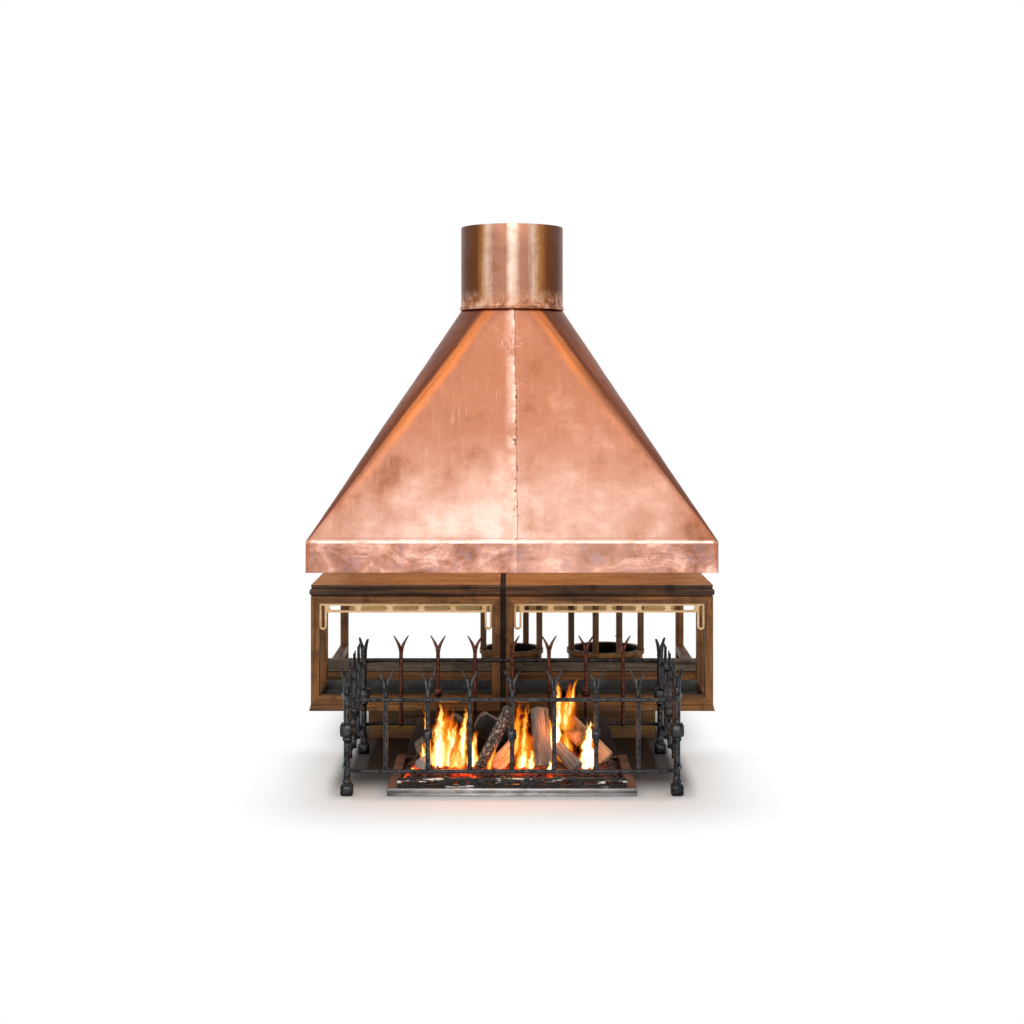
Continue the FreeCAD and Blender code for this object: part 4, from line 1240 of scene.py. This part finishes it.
def ember_bed():
    low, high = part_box("ember_bed")
    points = []
    heat = []
    for row in range(BED_ROWS + 1):
        for column in range(BED_COLUMNS + 1):
            x = mix(low.x, high.x, column / BED_COLUMNS)
            y = mix(low.y, high.y, row / BED_ROWS)
            edge, rise = bed_slope(low, high, x, y)
            spot = Vector((x, y, 0))
            bumps = 0.5 + 0.5 * noise.noise(spot * 60) + 0.35 * noise.noise(spot * 140)
            z = max(low.z, rise - BED_BUMP + BED_BUMP * bumps * min(1, edge / BED_RIM))
            points.append(Vector((x, y, z)))
            heat.append(HEAT_SHARE * heat_at(x, y) + 0.22 * bumps - 0.05)
    wide = BED_COLUMNS + 1
    faces = grid_faces(0, BED_ROWS, BED_COLUMNS)
    rim = list(range(wide))
    rim += [row * wide + BED_COLUMNS for row in range(1, BED_ROWS + 1)]
    rim += [BED_ROWS * wide + column for column in reversed(range(BED_COLUMNS))]
    rim += [row * wide for row in reversed(range(1, BED_ROWS))]
    faces.append(tuple(reversed(rim)))
    for number in range(LUMPS):
        x = mix(low.x + LUMP_CLEAR, high.x - LUMP_CLEAR, random.random())
        y = mix(low.y + LUMP_FRONT, high.y - LUMP_BACK, random.random() ** 1.6)
        edge, rise = bed_slope(low, high, x, y)
        size = random.uniform(*LUMP_SIZES)
        seed = Vector((number * 0.37, number * 0.11, 0))
        warmth = HEAT_SHARE * heat_at(x, y) + random.uniform(-0.10, 0.22)
        count = add_lump(points, faces, Vector((x, y, rise - LUMP_SINK)), size, seed, 0.5, 0.8)
        heat.extend([warmth] * count)
    mesh = new_mesh("ember_crust", points, faces)
    point_values(mesh, "warmth", heat)
    keep("ember_crust", mesh, [embers], ["ember_bed"])


# Flames: distance across, depth, base height, height, width, lean at the tip and heat of the core
FLAMES = (
    (-0.205, 0.200, 0.038, 0.190, 0.105, 0.006, 1.10), (-0.176, 0.208, 0.040, 0.130, 0.120, 0.014, 0.95),
    (-0.142, 0.214, 0.040, 0.178, 0.070, 0.016, 0.90), (-0.232, 0.216, 0.050, 0.160, 0.050, -0.014, 0.75),
    (-0.158, 0.186, 0.036, 0.080, 0.120, 0.000, 0.66), (-0.246, 0.196, 0.046, 0.070, 0.040, -0.004, 0.85),
    (-0.112, 0.206, 0.040, 0.105, 0.076, 0.010, 0.85), (-0.064, 0.166, 0.040, 0.078, 0.036, 0.024, 0.55),
    (0.030, 0.190, 0.036, 0.076, 0.090, 0.004, 0.80), (0.030, 0.204, 0.050, 0.182, 0.050, 0.014, 0.62),
    (0.052, 0.186, 0.040, 0.058, 0.050, 0.006, 1.05), (0.104, 0.150, 0.036, 0.038, 0.034, 0.002, 1.25),
    (0.112, 0.236, 0.066, 0.118, 0.036, -0.006, 0.75), (0.126, 0.246, 0.070, 0.170, 0.050, 0.006, 1.20),
    (0.134, 0.250, 0.150, 0.142, 0.060, -0.006, 0.78), (0.158, 0.252, 0.170, 0.116, 0.056, 0.028, 0.70),
    (0.150, 0.252, 0.150, 0.100, 0.095, 0.010, 0.62),
    (0.212, 0.184, 0.036, 0.142, 0.088, 0.004, 1.55), (0.206, 0.190, 0.038, 0.070, 0.090, 0.000, 1.30),
    (-0.186, 0.220, 0.036, 0.180, 0.200, 0.008, 0.44), (0.036, 0.216, 0.040, 0.128, 0.120, 0.006, 0.48),
    (0.212, 0.200, 0.036, 0.125, 0.120, 0.004, 0.60), (0.150, 0.262, 0.130, 0.140, 0.110, 0.016, 0.50),
    (0.152, 0.236, 0.046, 0.110, 0.115, 0.000, 0.56), (0.012, 0.212, 0.080, 0.150, 0.070, 0.010, 0.46),
)
LEAF_ROWS = 18
LEAF_COLUMNS = 10
LEAF_TURNS = (0, 55, 125)


def flames():
    """Upright crossed sheets. The material cuts the tongue of each."""
    points = []
    faces = []
    leaves = []
    rises = []
    cores = []
    for number, (x, depth, z, height, width, lean, core) in enumerate(FLAMES):
        base = place(x, depth, z)
        for turn in LEAF_TURNS:
            angle = math.radians(turn)
            way = Vector((math.cos(angle), math.sin(angle), 0))
            first = len(points)
            for row in range(LEAF_ROWS + 1):
                up = row / LEAF_ROWS
                middle = base + Vector((lean * up ** 1.3, 0, height * up))
                for column in range(LEAF_COLUMNS + 1):
                    across = 2 * column / LEAF_COLUMNS - 1
                    curve = 0.06 * width * math.sin(4 * up + number + turn)
                    points.append(middle + way * width / 2 * across + Vector((0, curve * up, 0)))
                    leaves.append(Vector((across, up * height / width, number * 3.1 + turn * 0.07)))
                    rises.append(up)
                    cores.append(core)
            faces += grid_faces(first, LEAF_ROWS, LEAF_COLUMNS)
    mesh = new_mesh("flames", points, faces)
    point_vectors(mesh, "leaf", leaves)
    point_values(mesh, "rise", rises)
    point_values(mesh, "core", cores)
    keep("flames", mesh, [flame], [])


console()
hearth_metal()
canopy()
skirt()
flue()
fence()
for log_name, log_sizes in LOGS.items():
    log(log_name, *log_sizes)
ember_bed()
flames()

# Floor, light and camera
CAMERA_DEPTH = -4.265
CAMERA_Z = 1.108
LENS = 56.25
SHIFT_Y = -0.124
STAGE_HALF = 14
# Colour of the painted shadow on the floor inside the fence
PAINTED_SHADOW = (0.040, 0.033, 0.030, 1)
PALE_FLOOR = (0.9, 0.9, 0.9, 1)
WHITE = (1, 1, 1, 1)
# Strength of the surroundings as a light, and as a background
SKY_LIGHT = 0.7
SKY_SEEN = 1.0
# Lamps in the fire: name, distance across, depth, height and power
FIRES = (("left_fire", -0.165, 0.19, 0.12, 1.1), ("centre_fire", 0.02, 0.18, 0.09, 0.7),
         ("right_fire", 0.125, 0.215, 0.16, 0.8))
FIRE_COLOUR = (1.0, 0.24, 0.035)
FIRE_R = 0.035


def floor_finish():
    """A painted shadow inside the fence, pale round it, and white to the eye farther out."""
    finish = Finish("floor", Roughness=0.9)
    where = finish.where()

    def beyond(half_x, near, far, start, stop, pinch=1):
        """0 within a rectangle of the floor, rising to 1 away from it, sooner to the sides by the pinch."""
        middle = FRONT_Y + (near + far) / 2
        out_x = (abs(where.axis("X")) - half_x).largest(0) * pinch
        out_y = (abs(where.axis("Y") - middle) - (far - near) / 2).largest(0)
        gap = finish.add("VectorMath", {0: finish.join(out_x, out_y)}, "Value", operation="LENGTH")
        return finish.add("MapRange", {0: gap, 1: start, 2: stop}, interpolation_type="SMOOTHSTEP")

    # Painted shadow: dark floor inside the fence, fading towards its front and sides.
    painted_shadow_share = beyond(0.47, 0.26, 0.9, 0.0, 0.30, 5)
    far = beyond(0.40, 0, 0.45, 0.02, 0.36).smallest(beyond(0.37, 0.45, 1.1, 0.02, 0.30))
    far = far.smallest(beyond(0.455, 0.34, 0.9, 0.0, 0.30, 4))
    white = finish.add("Emission", {"Color": WHITE, "Strength": 1.0})
    blend = finish.add("MixShader", {0: finish.seen() * far, 1: finish.shader.outputs[0], 2: white})
    finish.feed(finish.nodes["Material Output"].inputs["Surface"], blend)
    return finish.done(finish.mix(painted_shadow_share, PAINTED_SHADOW, PALE_FLOOR))


def stage():
    corners = [(x * STAGE_HALF, y * STAGE_HALF, 0) for x, y in ((-1, -1), (1, -1), (1, 1), (-1, 1))]
    floor = new_mesh("floor", corners, [(0, 1, 2, 3)])
    floor.materials.append(floor_finish())
    piece = bpy.data.objects.new("floor", floor)
    bpy.context.scene.collection.objects.link(piece)

    world = bpy.data.worlds.new("studio")
    bpy.context.scene.world = world
    world.use_nodes = True
    tree = Tree(world.node_tree)
    back = tree.nodes["Background"]
    tree.feed(back.inputs["Color"], WHITE)
    strength = tree.add("MapRange", {"Value": tree.seen(), "To Min": SKY_LIGHT, "To Max": SKY_SEEN})
    tree.feed(back.inputs["Strength"], strength)


def hang(name, data, spot):
    """Puts a lamp or a camera in the scene."""
    holder = bpy.data.objects.new(name, data)
    holder.location = spot
    holder.visible_camera = False
    bpy.context.scene.collection.objects.link(holder)
    return holder


def softbox(name, spot, target, size, power, colour=(1, 1, 1)):
    lamp = bpy.data.lights.new(name, "AREA")
    lamp.shape = "RECTANGLE"
    lamp.size, lamp.size_y = size
    lamp.energy = power
    lamp.color = colour
    holder = hang(name, lamp, spot)
    holder.rotation_euler = (Vector(target) - Vector(spot)).to_track_quat("-Z", "Y").to_euler()


def fire_light(name, x, depth, z, power):
    lamp = bpy.data.lights.new(name, "POINT")
    lamp.energy = power
    lamp.color = FIRE_COLOUR
    lamp.shadow_soft_size = FIRE_R
    hang(name, lamp, place(x, depth, z))


def camera():
    lens = bpy.data.cameras.new("view")
    lens.lens = LENS
    lens.shift_y = SHIFT_Y
    holder = hang("view", lens, place(0, CAMERA_DEPTH, CAMERA_Z))
    holder.rotation_euler = (math.pi / 2, 0, 0)
    bpy.context.scene.camera = holder


stage()
softbox("overhead", (0, -1.6, 4.2), (0, 0, 0.8), (3.6, 2.6), 34)
softbox("front_fill", (0, -3.6, 0.24), (0, 0, 0.34), (3.2, 0.44), 40)
softbox("under_hood", (0, HOOD_MID, 0.66), (0, HOOD_MID, 0), (1.0, 0.9), 2.2, (1.0, 0.82, 0.58))
for fire in FIRES:
    fire_light(*fire)
camera()
bpy.context.scene.view_settings.view_transform = "Standard"
